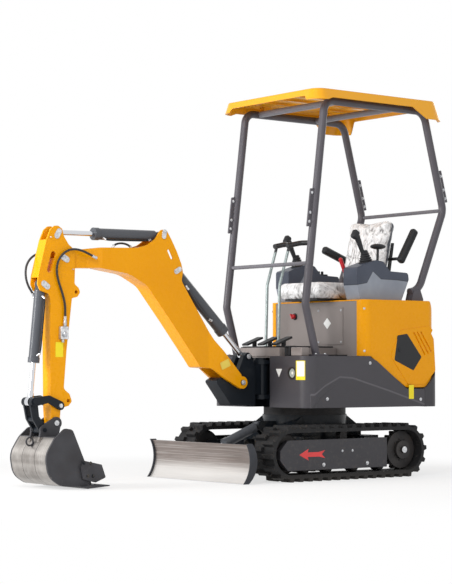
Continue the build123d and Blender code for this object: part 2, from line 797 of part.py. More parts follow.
def pedals():
    parts = []
    floor = panel_top + deck_height + 0.3
    for y in (-130, 20, 150):
        stem = block(285, 305, y - 10, y + 10, floor, floor + 40)
        pad = Pos(310, y, floor + 40) * Rot(0, 20, 0) * Box(130, 56, 12)
        parts.append(stem + pad)
    return Compound(parts)


# Canopy

def canopy_hoop():
    y = canopy_half_width
    foot = panel_top + 0.3
    front = canopy_front_knee
    rear = canopy_rear_knee
    points = [
        (canopy_foot_x - 14, y, foot - 50), (front[0], y, front[1]),
        (canopy_front_top_x + 12, y, canopy_top_z), (canopy_rear_top_x - 12, y, canopy_top_z),
        (rear[0], y, rear[1]), (canopy_rear_foot[0] - 60, y, canopy_rear_foot[1]),
        (canopy_rear_foot[0] + 20, y, canopy_rear_foot[1] - 18)]
    radii = [60, 70, 90, 110, 110]
    hoop = tube_along(points, radii, canopy_tube_radius)
    hoop -= block(canopy_foot_x - 100, canopy_foot_x + 100, y - 60, y + 60, foot - 100, foot)
    plate_foot = block(canopy_foot_x - 50, canopy_foot_x + 50, y - 50, y + 50, foot, foot + 10)
    foot_x = canopy_rear_foot[0]
    stand = plate(
        [(foot_x - 70, hood_top + 0.5), (foot_x + 26, hood_top + 0.5), (foot_x + 26, hood_top + 12),
         (foot_x + 10, canopy_rear_foot[1] - 10), (foot_x - 46, canopy_rear_foot[1] - 4),
         (foot_x - 70, hood_top + 12)], y - 30, y + 30)
    splices = plate(
        [(front_post_x(splice_front[0]), splice_front[0]), (front_post_x(splice_front[1]), splice_front[1]),
         (front_post_x(splice_front[1]) + splice_reach, splice_front[1] - 6, 5),
         (front_post_x(splice_front[0]) + splice_reach, splice_front[0] - 6, 5)],
        y - splice_half, y + splice_half)
    splices += plate(
        [(rear_post_x(splice_rear[0]), splice_rear[0]), (rear_post_x(splice_rear[1]), splice_rear[1]),
         (rear_post_x(splice_rear[1]) - splice_reach, splice_rear[1] + 8, 5),
         (rear_post_x(splice_rear[0]) - splice_reach, splice_rear[0] + 8, 5)],
        y - splice_half, y + splice_half)
    return hoop + plate_foot + stand + splices


def canopy_crossbars():
    bars = []
    reach = canopy_half_width - canopy_tube_radius - 0.3
    for x, z, radius in (
            (front_post_x(1296), 1296, 12), (canopy_rear_knee[0] + 4, 1668, 12),
            (60, canopy_top_z, canopy_tube_radius - 4), (-420, canopy_top_z, canopy_tube_radius - 4)):
        bars.append(cross_pin((x, z), radius, -reach, reach))
    return Compound(bars)


def front_post_x(z):
    low = canopy_front_knee
    high = (canopy_front_top_x + 12, canopy_top_z)
    share = (z - low[1]) / (high[1] - low[1])
    return low[0] + share * (high[0] - low[0])


def rear_post_x(z):
    low = canopy_rear_knee
    high = (canopy_rear_top_x - 12, canopy_top_z)
    share = (z - low[1]) / (high[1] - low[1])
    return low[0] + share * (high[0] - low[0])


def canopy_roof():
    # A shallow moulded shell whose corners hang lower than its edges.
    plan = corners_face([
        (roof_rear_x, -roof_half_width, roof_corner), (roof_front_x, -roof_half_width, roof_corner),
        (roof_front_x, roof_half_width, roof_corner), (roof_rear_x, roof_half_width, roof_corner)])
    low = roof_top - roof_skirt
    body = Pos(0, 0, low) * extrude(plan, roof_skirt, taper=roof_taper_deg)
    hollow = Pos(0, 0, low) * extrude(offset(plan, -roof_wall), roof_skirt - roof_wall, taper=roof_taper_deg)
    body -= hollow
    edge = roof_top - roof_edge_depth
    front_low = roof_top - roof_front_lobe
    far = roof_half_width + 1
    body -= plate(
        [(roof_rear_x + 180, low - 1), (roof_rear_x + 279, edge, 20), (roof_front_x - 150, edge, 12),
         (roof_front_x - 110, front_low), (roof_front_x + 1, front_low), (roof_front_x + 1, low - 1)],
        -far, far)
    side = roof_half_width - roof_corner - 30
    gap = corners_face([(-side - 60, low - 1), (-side, edge + 12, 20), (side, edge + 12, 20), (side + 60, low - 1)])
    ends = Plane(origin=(roof_front_x + 1, 0, 0), x_dir=(0, 1, 0), z_dir=(1, 0, 0))
    body -= ends * extrude(gap, -(roof_front_x - roof_rear_x + 2))
    tube_top = canopy_top_z + canopy_tube_radius + 0.3
    for x in (canopy_front_top_x - 150, canopy_rear_top_x + 100):
        for side_y in (-canopy_half_width, canopy_half_width):
            body += block(x - 30, x + 30, side_y - 20, side_y + 20, tube_top, roof_top - roof_wall + 1)
    rib_low = roof_top - roof_wall - 14
    for y in (-roof_rib_y, 0, roof_rib_y):
        body += block(roof_rear_x + 130, roof_front_x - 110, y - 12, y + 12, rib_low, roof_top - roof_wall + 1)
    return body


# Swing bracket

def swing_bracket():
    lower, upper = lug_levels()
    z_low = lower[1] + side_gap
    z_high = upper[0] - side_gap
    barrel = Pos(king_pin, 0, z_low) * Cylinder(50, z_high - z_low, align=(Align.CENTER, Align.CENTER, Align.MIN))
    x, z = boom_cylinder_eye
    half = boom_foot_half_width - bracket_plate - side_gap
    cheek = corners_face([
        (440, 437, 10), (625, 445, 10), (742, 590, 12), (700, 612, 12), (boom_foot[0] + 48, boom_foot[1] + 10),
        (boom_foot[0] + 20, boom_foot[1] + 52), (x + 30, z + 6), (x, z + 32, 24), (x - 34, z, 20),
        (440, 640, 10)])
    body = barrel + upright(cheek, -half, half)
    body += block(king_pin, 450, -40, 40, z_low, z_high)
    slot = eye_width / 2 + side_gap
    body -= upright(corners_face([
        (x - 60, 652, 8), (x + 60, 652, 8), (x + 140, 800), (x - 60, 800)]), -slot, slot)
    body -= Pos(king_pin, 0, 400) * Cylinder(king_pin_radius + pin_fit, 400, align=(Align.CENTER, Align.CENTER, Align.MIN))
    for side in (-1, 1):
        heads = [side * half, side * (half + 8)]
        body += cross_pin(boom_cylinder_eye, pin_radius, min(heads), max(heads))
    reach = boom_foot_half_width + 8
    body += cross_pin(boom_foot, pin_radius, -reach, reach)
    return body


# Boom

def boom():
    outline = corners_face([
        (boom_foot[0] + 6, boom_foot[1] + 44, 20), (762, 835), (876, 1001), (998, 1179, 40),
        (988, 1232, 40), (1000, 1280), (1033, 1351), (1072, 1419), (1108, 1474, 30), (1148, 1476, 24),
        (1190, 1418, 30), (1246, 1382, 40), (1320, 1362, 60), (1576, 1354), (1755, 1332, 20),
        (1835, 1296, 30), (1835, 1256, 30), (1755, 1232, 20), (1576, 1238), (1371, 1209, 200),
        (1246, 1145, 120), (1075, 942), (902, 729, 60), (858, 672, 20), (779, 666, 30),
        (673, 597, 20), (boom_foot[0] + 20, boom_foot[1] - 34)])
    outline += Pos(*boom_foot) * Circle(37)
    outline -= Pos(1082, 1333) * Rot(0, 0, 62) * SlotOverall(64, 18)
    body = upright(outline, -boom_foot_half_width, boom_foot_half_width)
    plan = corners_face([
        (500, boom_foot_half_width), (700, boom_foot_half_width, 60), (800, boom_half_width, 60),
        (1560, boom_half_width), (1650, boom_nose_half_width), (1900, boom_nose_half_width),
        (1900, -boom_nose_half_width), (1650, -boom_nose_half_width), (1560, -boom_half_width),
        (800, -boom_half_width, 60), (700, -boom_foot_half_width, 60), (500, -boom_foot_half_width)])
    body = body & (Pos(0, 0, 400) * extrude(plan, 1400))
    inner = boom_half_width - boom_plate
    between = corners_face([
        (780, 900), (830, 900), (900, 990, 60), (985, 1085, 60), (1066, 1180, 60), (1088, 1290, 60),
        (1240, 1362, 100), (1340, 1368), (1340, 1560), (780, 1560)])
    body -= upright(between, -inner, inner)
    half = eye_width / 2 + side_gap
    for place in (boom_cylinder_base, arm_cylinder_base):
        body += cross_pin(place, boss_radius, half, inner)
        body += cross_pin(place, boss_radius, -inner, -half)
        body -= cross_pin(place, pin_radius + pin_fit, -200, 200)
    fork = boom_foot_half_width - bracket_plate
    body -= upright(corners_face([
        (480, 480), (700, 480), (800, 640, 30), (770, 720, 60), (640, 760), (480, 760)]), -fork, fork)
    body -= cross_pin(boom_foot, pin_radius + pin_fit, -200, 200)
    body -= cross_pin(arm_pivot, pin_radius + pin_fit, -200, 200)
    return body


def boom_pins():
    pins = []
    outer = boom_half_width
    for place, lean in ((boom_cylinder_base, -30), (arm_cylinder_base, 100)):
        pin = cross_pin(place, pin_radius, -outer - 4, outer + 4)
        keeper = Pos(place[0], outer + 4, place[1]) * Rot(90, 0, 0) * Rot(0, 0, lean) * extrude(
            Pos(10, 0) * SlotOverall(58, 30), 4)
        pins.append(pin + keeper)
    return Compound(pins)


# Arm

def arm():
    outline = [
        (1873, 1465), (1899, 1444), (1926, 1382), (1951, 1286), (1977, 1185), (1982, 1135, 20),
        (1965, 1100, 14), (1911, 1084, 20), (1898, 1054, 20), (1900, 881), (1893, 440), (1885, 345, 20),
        (1862, 330, 16), (1836, 345, 20), (1829, 435), (1800, 452, 10), (1776, 457, 14), (1753, 482, 14),
        (1769, 524, 20), (1808, 552, 30), (1790, 770), (1755, 1062, 8), (1718, 1070, 14),
        (1700, 1097, 14), (1711, 1122, 14), (1738, 1142, 20), (1735, 1243), (1736, 1333, 20), (1779, 1365, 30),
        (1810, 1409), (1823, 1451, 14), (1850, 1467, 14)]
    face = corners_face(outline)
    body = upright(face, -arm_half_width, arm_half_width)
    nose = boom_nose_half_width + side_gap
    body -= upright(corners_face([
        (1600, 1040), (1735, 1155), (1830, 1190, 60), (1868, 1280, 60), (1890, 1330, 60),
        (1890, 1385, 6), (1960, 1390), (1960, 1500), (1600, 1500)]), -nose, nose)
    slot = arm_half_width - arm_plate
    x, z = bucket_cylinder_base
    body -= upright(corners_face([
        (x - 44, z - 110), (x - 44, z + 36, 30), (x + 100, z + 36), (x + 100, z - 110)]), -slot, slot)
    body -= upright(Pos(1893, 1262) * Rot(0, 0, 106) * SlotOverall(124, 30), -100, 100)
    half = eye_width / 2 + side_gap
    body += cross_pin(bucket_cylinder_base, boss_radius, half, slot)
    body += cross_pin(bucket_cylinder_base, boss_radius, -slot, -half)
    for place in (arm_pivot, arm_cylinder_eye, bucket_cylinder_base, bucket_pivot):
        body -= cross_pin(place, pin_radius + pin_fit, -100, 100)
    body -= cross_pin(rocker_pivot, small_pin_radius + pin_fit, -100, 100)
    for place in lug_holes:
        body -= cross_pin(place, lug_hole_radius, -100, 100)
    return body


def arm_pins():
    outer = arm_half_width
    pins = cross_pin(arm_pivot, pin_radius, -outer - 4, outer + 4)
    pins += cross_pin(bucket_cylinder_base, pin_radius, -outer - 4, outer + 4)
    bushing = eye_width / 2 + side_gap
    for place, lean in ((arm_cylinder_eye, -60), (bucket_cylinder_base, 215), (arm_pivot, 30)):
        keeper = Pos(place[0], outer + 4, place[1]) * Rot(90, 0, 0) * Rot(0, 0, lean) * extrude(
            Pos(10, 0) * SlotOverall(62, 34), 4)
        pins += keeper
    reach = ear_outer + 4
    pins += cross_pin(rocker_pivot, small_pin_radius, -reach, reach)
    pins += cross_pin(bucket_pivot, pin_radius, -reach, reach)
    for side in (-1, 1):
        inner = side * bushing
        low = min(inner, side * (outer + 4))
        high = max(inner, side * (outer + 4))
        pins += cross_pin(arm_cylinder_eye, pin_radius, low, high)
    return pins


def rocker_links():
    # A pair of curved plates outside the arm, with bosses inwards to the bucket link.
    start = Vector(*rocker_pivot)
    end = Vector(*rocker_end)
    middle = (start + end) / 2 + Vector(-8, 26)
    face = hull_face([(*rocker_pivot, 25), (middle.X, middle.Y, 20)])
    face += hull_face([(middle.X, middle.Y, 20), (*rocker_end, 25)])
    low = arm_half_width + side_gap
    one = upright(face, low, low + rocker_plate)
    one -= cross_pin(rocker_pivot, small_pin_radius + pin_fit, 0, 200)
    one += cross_pin(rocker_end, pin_radius, low + rocker_plate, low + rocker_plate + 10)
    return Compound([one, mirror(one, about=Plane.XZ)])


def bucket_link():
    # Two curved plates joined by a web, between the rocker's eyes and the bucket's ears.
    start = Vector(*rocker_end)
    end = Vector(*link_foot)
    middle = (start + end) / 2 + Vector(16, -10)
    face = hull_face([(*rocker_end, 25), (middle.X, middle.Y, 21)])
    face += hull_face([(middle.X, middle.Y, 21), (*link_foot, 23)])
    inner = link_half_width - link_plate
    body = upright(face, inner, link_half_width) + upright(face, -link_half_width, -inner)
    web = hull_face([(middle.X, middle.Y - 8, 14), (end.X + 6, end.Y + 34, 14)])
    body += upright(web, -link_half_width + 1, link_half_width - 1)
    body += cross_pin(link_foot, 23, -link_half_width, link_half_width)
    body += cross_pin(link_foot, small_pin_radius, -ear_outer - 4, ear_outer + 4)
    return body


def bucket():
    half = bucket_half_width
    low = bucket_floor_gap
    floor = low + 12
    rim = 290
    side = corners_face([
        (1716, floor), (1764, 150), (1846, 330, 30), (1898, 338, 34), (1962, 284, 110),
        (2022, 190, 110), (2000, 70, 110), (1920, low + 18, 90), (1800, floor)])
    inner = half - bucket_side_wall
    body = upright(side, inner, half) + upright(side, -half, -inner)
    hollow = corners_face([
        (1600, floor + bucket_shell), (1600, rim - bucket_shell), (1954, rim - bucket_shell, 60), (2012, 188, 100), (1992, 78, 100), (1914, low + 28, 80),
        (1800, floor + bucket_shell)])
    above = corners_face([(1600, rim), (2100, rim), (2100, rim + 100), (1600, rim + 100)])
    body += upright(side - hollow - above, -inner, inner)
    lip = corners_face([(1622, low + 16), (1622, low + 10), (1770, low), (1800, floor), (1716, low + 24)])
    body += upright(lip, -half - 36, half + 36)
    cutter = corners_face([
        (1632, 60, 8), (1660, 132, 8), (1780, 158, 10), (1800, 120, 10), (1786, 56, 10), (1700, 34, 8)])
    body += upright(cutter, half, half + 12) + upright(cutter, -half - 12, -half)
    px, pz = bucket_pivot
    lx, lz = link_foot
    ear = hull_face([(px, pz, 34), (lx, lz, 28)]) + corners_face([
        (px - 28, pz - 10), (lx + 24, lz), (1985, 240, 10), (1960, 276), (1880, 286), (1850, 290)])
    body += upright(ear, ear_inner, ear_outer) + upright(ear, -ear_outer, -ear_inner)
    ring = Pos(ring_place[0], 0, ring_place[1]) * Rot(0, 40, 0) * Rot(90, 0, 90) * Torus(22, 5)
    body += ring - upright(side, -inner + 1, inner - 1)
    body -= cross_pin(bucket_pivot, pin_radius + pin_fit, -200, 200)
    body -= cross_pin(link_foot, small_pin_radius + pin_fit, -200, 200)
    return body


def stroke_in(base, eye, pivot, turn_deg):
    # How far the rod goes in when its eye turns about the pivot to the closed end of the range.
    return distance(base, eye) - distance(base, turned(eye, pivot, turn_deg)) + stroke_spare


def boom_cylinder():
    stroke = stroke_in(boom_cylinder_base, boom_cylinder_eye, boom_foot, -boom_up_deg)
    return cylinder_parts(boom_cylinder_base, boom_cylinder_eye, boom_tube_length, stroke,
                          boom_tube_radius, rod_radius + 2)


def arm_cylinder():
    stroke = stroke_in(arm_cylinder_base, arm_cylinder_eye, arm_pivot, arm_out_deg)
    return cylinder_parts(arm_cylinder_base, arm_cylinder_eye, arm_tube_length, stroke,
                          tube_radius, rod_radius)


def bucket_cylinder():
    return cylinder_parts(bucket_cylinder_base, rocker_end, bucket_tube_length, bucket_stroke_in,
                          tube_radius - 3, rod_radius - 1)


def blade_cylinder():
    stroke = stroke_in(blade_cylinder_base, blade_cylinder_eye, blade_pivot, blade_raise_deg)
    return cylinder_parts(blade_cylinder_base, blade_cylinder_eye, blade_tube_length, stroke,
                          tube_radius - 4, rod_radius - 3)


parts = {
    "track_frame": track_frame,
    "slew_bearing": slew_bearing,
    "track_left": lambda: track(1),
    "track_right": lambda: track(-1),
    "sprockets": lambda: Compound([sprocket(1), sprocket(-1)]),
    "track_wheels": track_wheels,
    "track_cover_left": lambda: track_cover(1),
    "track_cover_right": lambda: track_cover(-1),
    "blade": blade,
    "platform": platform,
    "side_panels": side_panels,
    "engine_hood": engine_hood,
    "hood_insets": hood_insets,
    "work_lamps": work_lamps,
    "counterweight": counterweight,
    "seat_box": seat_box,
    "engine_block": engine_block,
    "floor_deck": floor_deck,
    "seat_cushion": seat_cushion,
    "seat_back": seat_back,
    "seat_frame": seat_frame,
    "consoles": consoles,
    "joysticks": joysticks,
    "travel_levers": travel_levers,
    "pedals": pedals,
    "canopy_frame_left": canopy_hoop,
    "canopy_frame_right": lambda: mirror(canopy_hoop(), about=Plane.XZ),
    "canopy_crossbars": canopy_crossbars,
    "canopy_roof": canopy_roof,
    "swing_bracket": swing_bracket,
    "boom": boom,
    "boom_pins": boom_pins,
    "arm": arm,
    "arm_pins": arm_pins,
    "rocker_links": rocker_links,
    "bucket_link": bucket_link,
    "bucket": bucket,
}

cylinders = {
    "blade_cylinder": blade_cylinder,
    "boom_cylinder": boom_cylinder,
    "arm_cylinder": arm_cylinder,
    "bucket_cylinder": bucket_cylinder,
}

def build_all():
    shapes = {name: make() for name, make in parts.items()}
    for name, make in cylinders.items():
        shapes[name + "_tube"], shapes[name + "_rod"] = make()
    return shapes


def length_middle(shapes):
    boxes = [shape.bounding_box() for shape in shapes.values()]
    return (min(box.min.X for box in boxes) + max(box.max.X for box in boxes)) / 2


if __name__ == "__main__":
    os.makedirs("parts", exist_ok=True)
    shapes = build_all()
    middle = length_middle(shapes)
    for name, shape in shapes.items():
        export_step(Pos(-middle, 0, 0) * shape, f"parts/{name}.step")
    print("origin lies", round(middle, 3), "mm ahead of the slewing axis")
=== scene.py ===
import json
import math

import bpy
from mathutils import Matrix, Quaternion, Vector

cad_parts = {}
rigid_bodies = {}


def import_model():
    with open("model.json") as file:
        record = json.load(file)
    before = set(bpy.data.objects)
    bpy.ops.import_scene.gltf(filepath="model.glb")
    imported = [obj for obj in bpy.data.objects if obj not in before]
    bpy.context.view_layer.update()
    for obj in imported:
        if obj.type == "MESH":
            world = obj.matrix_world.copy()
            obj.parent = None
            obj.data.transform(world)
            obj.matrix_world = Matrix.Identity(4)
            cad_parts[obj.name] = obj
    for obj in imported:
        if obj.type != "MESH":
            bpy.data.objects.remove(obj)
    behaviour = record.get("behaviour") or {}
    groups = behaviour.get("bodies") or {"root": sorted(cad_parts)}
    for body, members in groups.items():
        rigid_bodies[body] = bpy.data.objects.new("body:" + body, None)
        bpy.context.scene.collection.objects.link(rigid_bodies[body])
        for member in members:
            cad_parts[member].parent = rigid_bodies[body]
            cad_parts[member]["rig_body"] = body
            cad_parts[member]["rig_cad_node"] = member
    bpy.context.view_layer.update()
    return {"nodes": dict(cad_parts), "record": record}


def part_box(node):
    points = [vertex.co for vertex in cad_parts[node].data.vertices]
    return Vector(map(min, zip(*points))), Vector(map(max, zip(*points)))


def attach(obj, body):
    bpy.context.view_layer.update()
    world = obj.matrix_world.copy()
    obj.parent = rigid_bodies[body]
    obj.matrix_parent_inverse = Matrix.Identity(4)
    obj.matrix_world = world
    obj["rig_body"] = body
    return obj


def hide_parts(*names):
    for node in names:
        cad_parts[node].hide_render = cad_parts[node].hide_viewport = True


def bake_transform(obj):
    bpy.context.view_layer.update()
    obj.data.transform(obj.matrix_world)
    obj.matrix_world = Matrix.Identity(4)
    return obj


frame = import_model()
print("frame loaded,", len(frame["nodes"]), "nodes")

bearingLow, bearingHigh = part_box("slew_bearing")
slewX = (bearingLow.x + bearingHigh.x) / 2  # places below are read ahead of the slewing axis


def at(x, y, z):
    return Vector((x + slewX, y, z))


# Camera, light and floor

view = {
    "stand": at(7.419, 8.652, 0.686),
    "yaw": math.radians(231.846),
    "pitch": math.radians(2.289),
    "focalPixels": 1826.9,
    "framePixels": 584,
    "sensor": 36,
    "clipEnd": 100,
    "skyLight": 0.6,
    "floorTone": (0.88, 0.88, 0.88),
    "floorGlow": 0.62,
    "floorSize": 60,
    "shadowReach": (1.7, 3.2),  # from the middle: plain floor inside, white paper outside
}

light = {  # place, size and power
    "key": (at(4.6, 2.2, 4.2), 2.2, 95),
    "front": (at(6.4, -1.4, 2.2), 2.0, 270),
    "side": (at(1.0, 6.0, 3.0), 2.6, 32),
    "rear": (at(-4.2, -1.2, 3.4), 2.6, 45),
}
lightTarget = at(0.4, 0, 1.0)


def setCamera():
    data = bpy.data.cameras.new("photoCamera")
    data.sensor_width = view["sensor"]
    data.lens = view["focalPixels"] / view["framePixels"] * view["sensor"]
    data.clip_end = view["clipEnd"]
    camera = bpy.data.objects.new("photoCamera", data)
    bpy.context.scene.collection.objects.link(camera)
    yaw, pitch = view["yaw"], view["pitch"]
    ahead = Vector((math.cos(yaw) * math.cos(pitch), math.sin(yaw) * math.cos(pitch), math.sin(pitch)))
    camera.location = view["stand"]
    camera.rotation_euler = ahead.to_track_quat("-Z", "Y").to_euler()
    bpy.context.scene.camera = camera


def setLights():
    for name, (place, size, power) in light.items():
        data = bpy.data.lights.new(name + "Light", "AREA")
        data.size = size
        data.energy = power
        lamp = bpy.data.objects.new(name + "Light", data)
        lamp.location = place
        lamp.rotation_euler = (lightTarget - place).to_track_quat("-Z", "Y").to_euler()
        bpy.context.scene.collection.objects.link(lamp)


# Shader maths

class Wire:
    def __init__(self, nodes, socket):
        self.nodes = nodes
        self.socket = socket

    def math(self, operation, *others):
        return self.nodes.node("ShaderNodeMath", {"operation": operation}, dict(enumerate((self, *others))))

    def __add__(self, other):
        return self.math("ADD", other)

    def __mul__(self, other):
        return self.math("MULTIPLY", other)

    __radd__ = __add__
    __rmul__ = __mul__

    def __sub__(self, other):
        return self.math("SUBTRACT", other)

    def __rsub__(self, other):
        return self.nodes.node("ShaderNodeMath", {"operation": "SUBTRACT"}, {0: other, 1: self})

    def __abs__(self):
        return self.math("ABSOLUTE")

    def most(self, other):
        return self.math("MAXIMUM", other)

    def above(self, level, soft):
        return self.nodes.node(
            "ShaderNodeMapRange", {"interpolation_type": "SMOOTHSTEP", "clamp": True},
            {"Value": self, "From Min": level - soft, "From Max": level + soft})

    def below(self, level, soft):
        return 1 - self.above(level, soft)

    def near(self, level, half, soft):
        return abs(self - level).below(half, soft)


class Nodes:
    def __init__(self, tree):
        self.tree = tree

    def node(self, kind, settings=None, inputs=None, out=0):
        made = self.tree.nodes.new(kind)
        for key, value in (settings or {}).items():
            if key == "stops":
                self.setStops(made.color_ramp, value)
            else:
                setattr(made, key, value)
        for key, value in (inputs or {}).items():
            self.plug(made.inputs[key], value)
        return Wire(self, made.outputs[out])

    def setStops(self, ramp, stops):
        while len(ramp.elements) < len(stops):
            ramp.elements.new(0.5)
        for element, (place, level) in zip(ramp.elements, stops):
            element.position = place
            element.color = (level, level, level, 1)

    def plug(self, socket, value):
        if isinstance(value, Wire):
            self.tree.links.new(value.socket, socket)
        elif isinstance(value, tuple) and len(value) == 3 and len(socket.default_value) == 4:
            socket.default_value = (*value, 1)
        else:
            socket.default_value = value

    def paperRays(self):
        # 1 for the rays that show the backdrop itself, 0 for the ones that light the machine
        rays = [self.node("ShaderNodeLightPath", out=name) for name in (
            "Is Camera Ray", "Is Glossy Ray", "Is Transmission Ray")]
        return rays[0].most(rays[1]).most(rays[2])


class Finish(Nodes):
    def __init__(self, name):
        self.material = bpy.data.materials.new(name)
        self.material.use_nodes = True
        super().__init__(self.material.node_tree)
        self.shader = self.tree.nodes["Principled BSDF"]
        self.place = self.node("ShaderNodeTexCoord", out="Object")

    def set(self, **values):
        for name, value in values.items():
            self.plug(self.shader.inputs[socketNames[name]], value)
        return self.material

    def surface(self, height, strength, distance, edge=0, **values):
        # A bump over rounded edges, with the shader's other values beside it.
        inputs = {"Height": height, "Strength": strength, "Distance": distance}
        if edge:
            inputs["Normal"] = self.node("ShaderNodeBevel", {"samples": 4}, {"Radius": edge})
        return self.set(normal=self.node("ShaderNodeBump", None, inputs), **values)

    def grain(self, scale, detail=3, rough=0.5, place=None, swirl=0.0):
        return self.node("ShaderNodeTexNoise", None, {
            "Vector": place or self.place, "Scale": scale, "Detail": detail, "Roughness": rough,
            "Distortion": swirl})

    def stretched(self, x, y, z):
        return self.node("ShaderNodeMapping", None, {"Vector": self.place, "Scale": (x, y, z)})

    def axis(self, letter, source=None):
        return self.node("ShaderNodeSeparateXYZ", None, {0: source or self.place}, out=letter)

    def facing(self, letter):
        return self.axis(letter, self.node("ShaderNodeTexCoord", out="Normal"))

    def away(self, place):
        return self.node("ShaderNodeVectorMath", {"operation": "DISTANCE"}, {
            0: self.place, 1: tuple(place)}, out="Value")

    def blend(self, mask, first, second):
        return self.node("ShaderNodeMix", {"data_type": "RGBA"}, {0: mask, 6: first, 7: second}, 2)


socketNames = {
    "colour": "Base Color", "rough": "Roughness", "metal": "Metallic", "coat": "Coat Weight",
    "coatRough": "Coat Roughness", "normal": "Normal", "gloss": "Specular IOR Level"}


def seen(red, green, blue):
    # A colour as it is seen on a screen, 0 to 255, becomes the shader's linear colour.
    linear = []
    for part in (red, green, blue):
        part = part / 255
        linear.append(part / 12.92 if part <= 0.04045 else ((part + 0.055) / 1.055) ** 2.4)
    return tuple(linear)


# Finishes: a grain's numbers are its scale, detail and roughness

def enamel(name, colour, shade, rough=0.28, dusty=0.1):
    # Sprayed paint: a faint orange peel, slight drift in tone, and a little dust low down.
    finish = Finish(name)
    tone = finish.blend(finish.grain(2.2, 4, 0.6).above(0.52, 0.2) * 0.5, colour, shade)
    low = finish.axis("Z").below(0.22, 0.22)
    dust = finish.grain(22, 5, 0.65).above(0.56, 0.1) * low * dusty
    return finish.surface(
        finish.grain(380, 2), 0.08, 0.0007, 0.0022, gloss=0.16, coat=0.08, coatRough=0.1,
        colour=finish.blend(dust, tone, seen(168, 156, 138)),
        rough=finish.grain(45, 4) * 0.14 + (rough - 0.07) + dust * 0.5)


def powderCoat(name, colour, shade, rough=0.5, edge=0.002, dusty=0.12):
    finish = Finish(name)
    tone = finish.blend(finish.grain(3, 4, 0.6).above(0.5, 0.2) * 0.5, colour, shade)
    low = finish.axis("Z").below(0.3, 0.25)
    dust = finish.grain(34, 6, 0.7).above(0.6, 0.1) * low * dusty
    return finish.surface(
        finish.grain(900, 2), 0.2, 0.0006, edge, gloss=0.3,
        colour=finish.blend(dust, tone, seen(150, 140, 125)),
        rough=finish.grain(60, 3) * 0.2 + (rough - 0.1))


bucketWork = {
    "dark": seen(66, 66, 70), "darkShade": seen(54, 53, 56), "scraped": seen(128, 122, 116),
    "shell": seen(196, 191, 186), "shellShade": seen(112, 106, 101), "scratched": seen(226, 223, 220),
    "seam": seen(44, 42, 44), "seamY": 0.064, "seamHalf": 0.0016,
    "rim": 0.286, "sideWall": 0.176, "lipTop": 0.034, "lipRear": 1.80,
    "ring": (2.012, 0, 0.262), "ringReach": 0.034, "edge": 0.0015,
}


def bucketSteel():
    # A ground shell between painted sides, ears, lip and cutters, with seams along it.
    finish = Finish("bucketSteel")
    across = finish.axis("Y")
    height = finish.axis("Z")
    scratches = finish.grain(1, 4, 0.65, finish.stretched(7, 170, 7))
    stains = finish.grain(6, 5, 0.65).above(0.52, 0.18)
    bands = finish.grain(1, 2, 0.5, finish.stretched(3, 0.4, 14)).above(0.5, 0.16)
    shell = finish.blend(stains * 0.45 + bands * 0.4, bucketWork["shell"], bucketWork["shellShade"])
    shell = finish.blend(scratches.above(0.62, 0.1) * 0.4, shell, bucketWork["scratched"])
    seams = abs(across).near(bucketWork["seamY"], bucketWork["seamHalf"], 0.0005)
    shell = finish.blend(seams, shell, bucketWork["seam"])
    lip = height.below(bucketWork["lipTop"], 0.001)
    lip = lip * finish.axis("X").below(bucketWork["lipRear"] + slewX, 0.004)
    painted = abs(across).above(bucketWork["sideWall"], 0.001).most(height.above(bucketWork["rim"], 0.002))
    ring = finish.away(at(*bucketWork["ring"])).below(bucketWork["ringReach"], 0.001)
    painted = painted.most(lip).most(ring)
    scrape = finish.grain(26, 6, 0.7).above(0.66, 0.07) * height.below(0.12, 0.1)
    coatTone = finish.blend(finish.grain(5, 3).above(0.5, 0.2), bucketWork["dark"], bucketWork["darkShade"])
    coatTone = finish.blend(scrape * 0.5, coatTone, bucketWork["scraped"])
    return finish.surface(
        scratches * (1 - painted) + finish.grain(500, 2) * 0.3, 0.16, 0.0006, bucketWork["edge"], gloss=0.3,
        colour=finish.blend(painted, shell, coatTone), metal=painted * -0.85 + 0.9,
        rough=scratches * 0.25 + 0.26 + painted * 0.1)


bladeWork = {
    # the low tone is a painted reflection of the floor on the lower face
    "face": seen(140, 130, 125), "stained": seen(112, 103, 98), "low": seen(236, 234, 231),
    "scratched": seen(228, 224, 220), "dark": seen(58, 60, 66), "darkShade": seen(46, 48, 53),
    "plateX": 0.742, "endsY": 0.4655, "floorReflectionZ": 0.085, "edge": 0.0015,
}


def bladeSteel():
    # The face is ground bright steel with stains and scratches, brightest low down as a painted reflection
    # of the floor; the back, arms and end plates carry dark paint.
    finish = Finish("bladeSteel")
    scratches = finish.grain(1, 4, 0.6, finish.stretched(3, 2.2, 240))
    stains = finish.grain(1, 4, 0.6, finish.stretched(3, 3.5, 9)).above(0.53, 0.16)
    face = finish.blend(stains * 0.4, bladeWork["face"], bladeWork["stained"])
    # painted reflection of the floor: the face is lightened towards its bottom edge
    low = finish.axis("Z").below(bladeWork["floorReflectionZ"], 0.05)
    face = finish.blend(low * 0.75, face, bladeWork["low"])
    face = finish.blend(scratches.above(0.58, 0.12) * 0.35, face, bladeWork["scratched"])
    ends = abs(finish.axis("Y")).above(bladeWork["endsY"], 0.001)
    back = finish.facing("X").below(0.25, 0.1).most(ends)
    back = back.most(finish.axis("X").below(bladeWork["plateX"] + slewX, 0.003))
    coatTone = finish.blend(finish.grain(6, 4).above(0.5, 0.2), bladeWork["dark"], bladeWork["darkShade"])
    return finish.surface(
        scratches, 0.12, 0.0006, bladeWork["edge"], gloss=0.3, colour=finish.blend(back, face, coatTone),
        metal=back * -0.8 + 0.85, rough=scratches * 0.2 + 0.28 + back * 0.1)


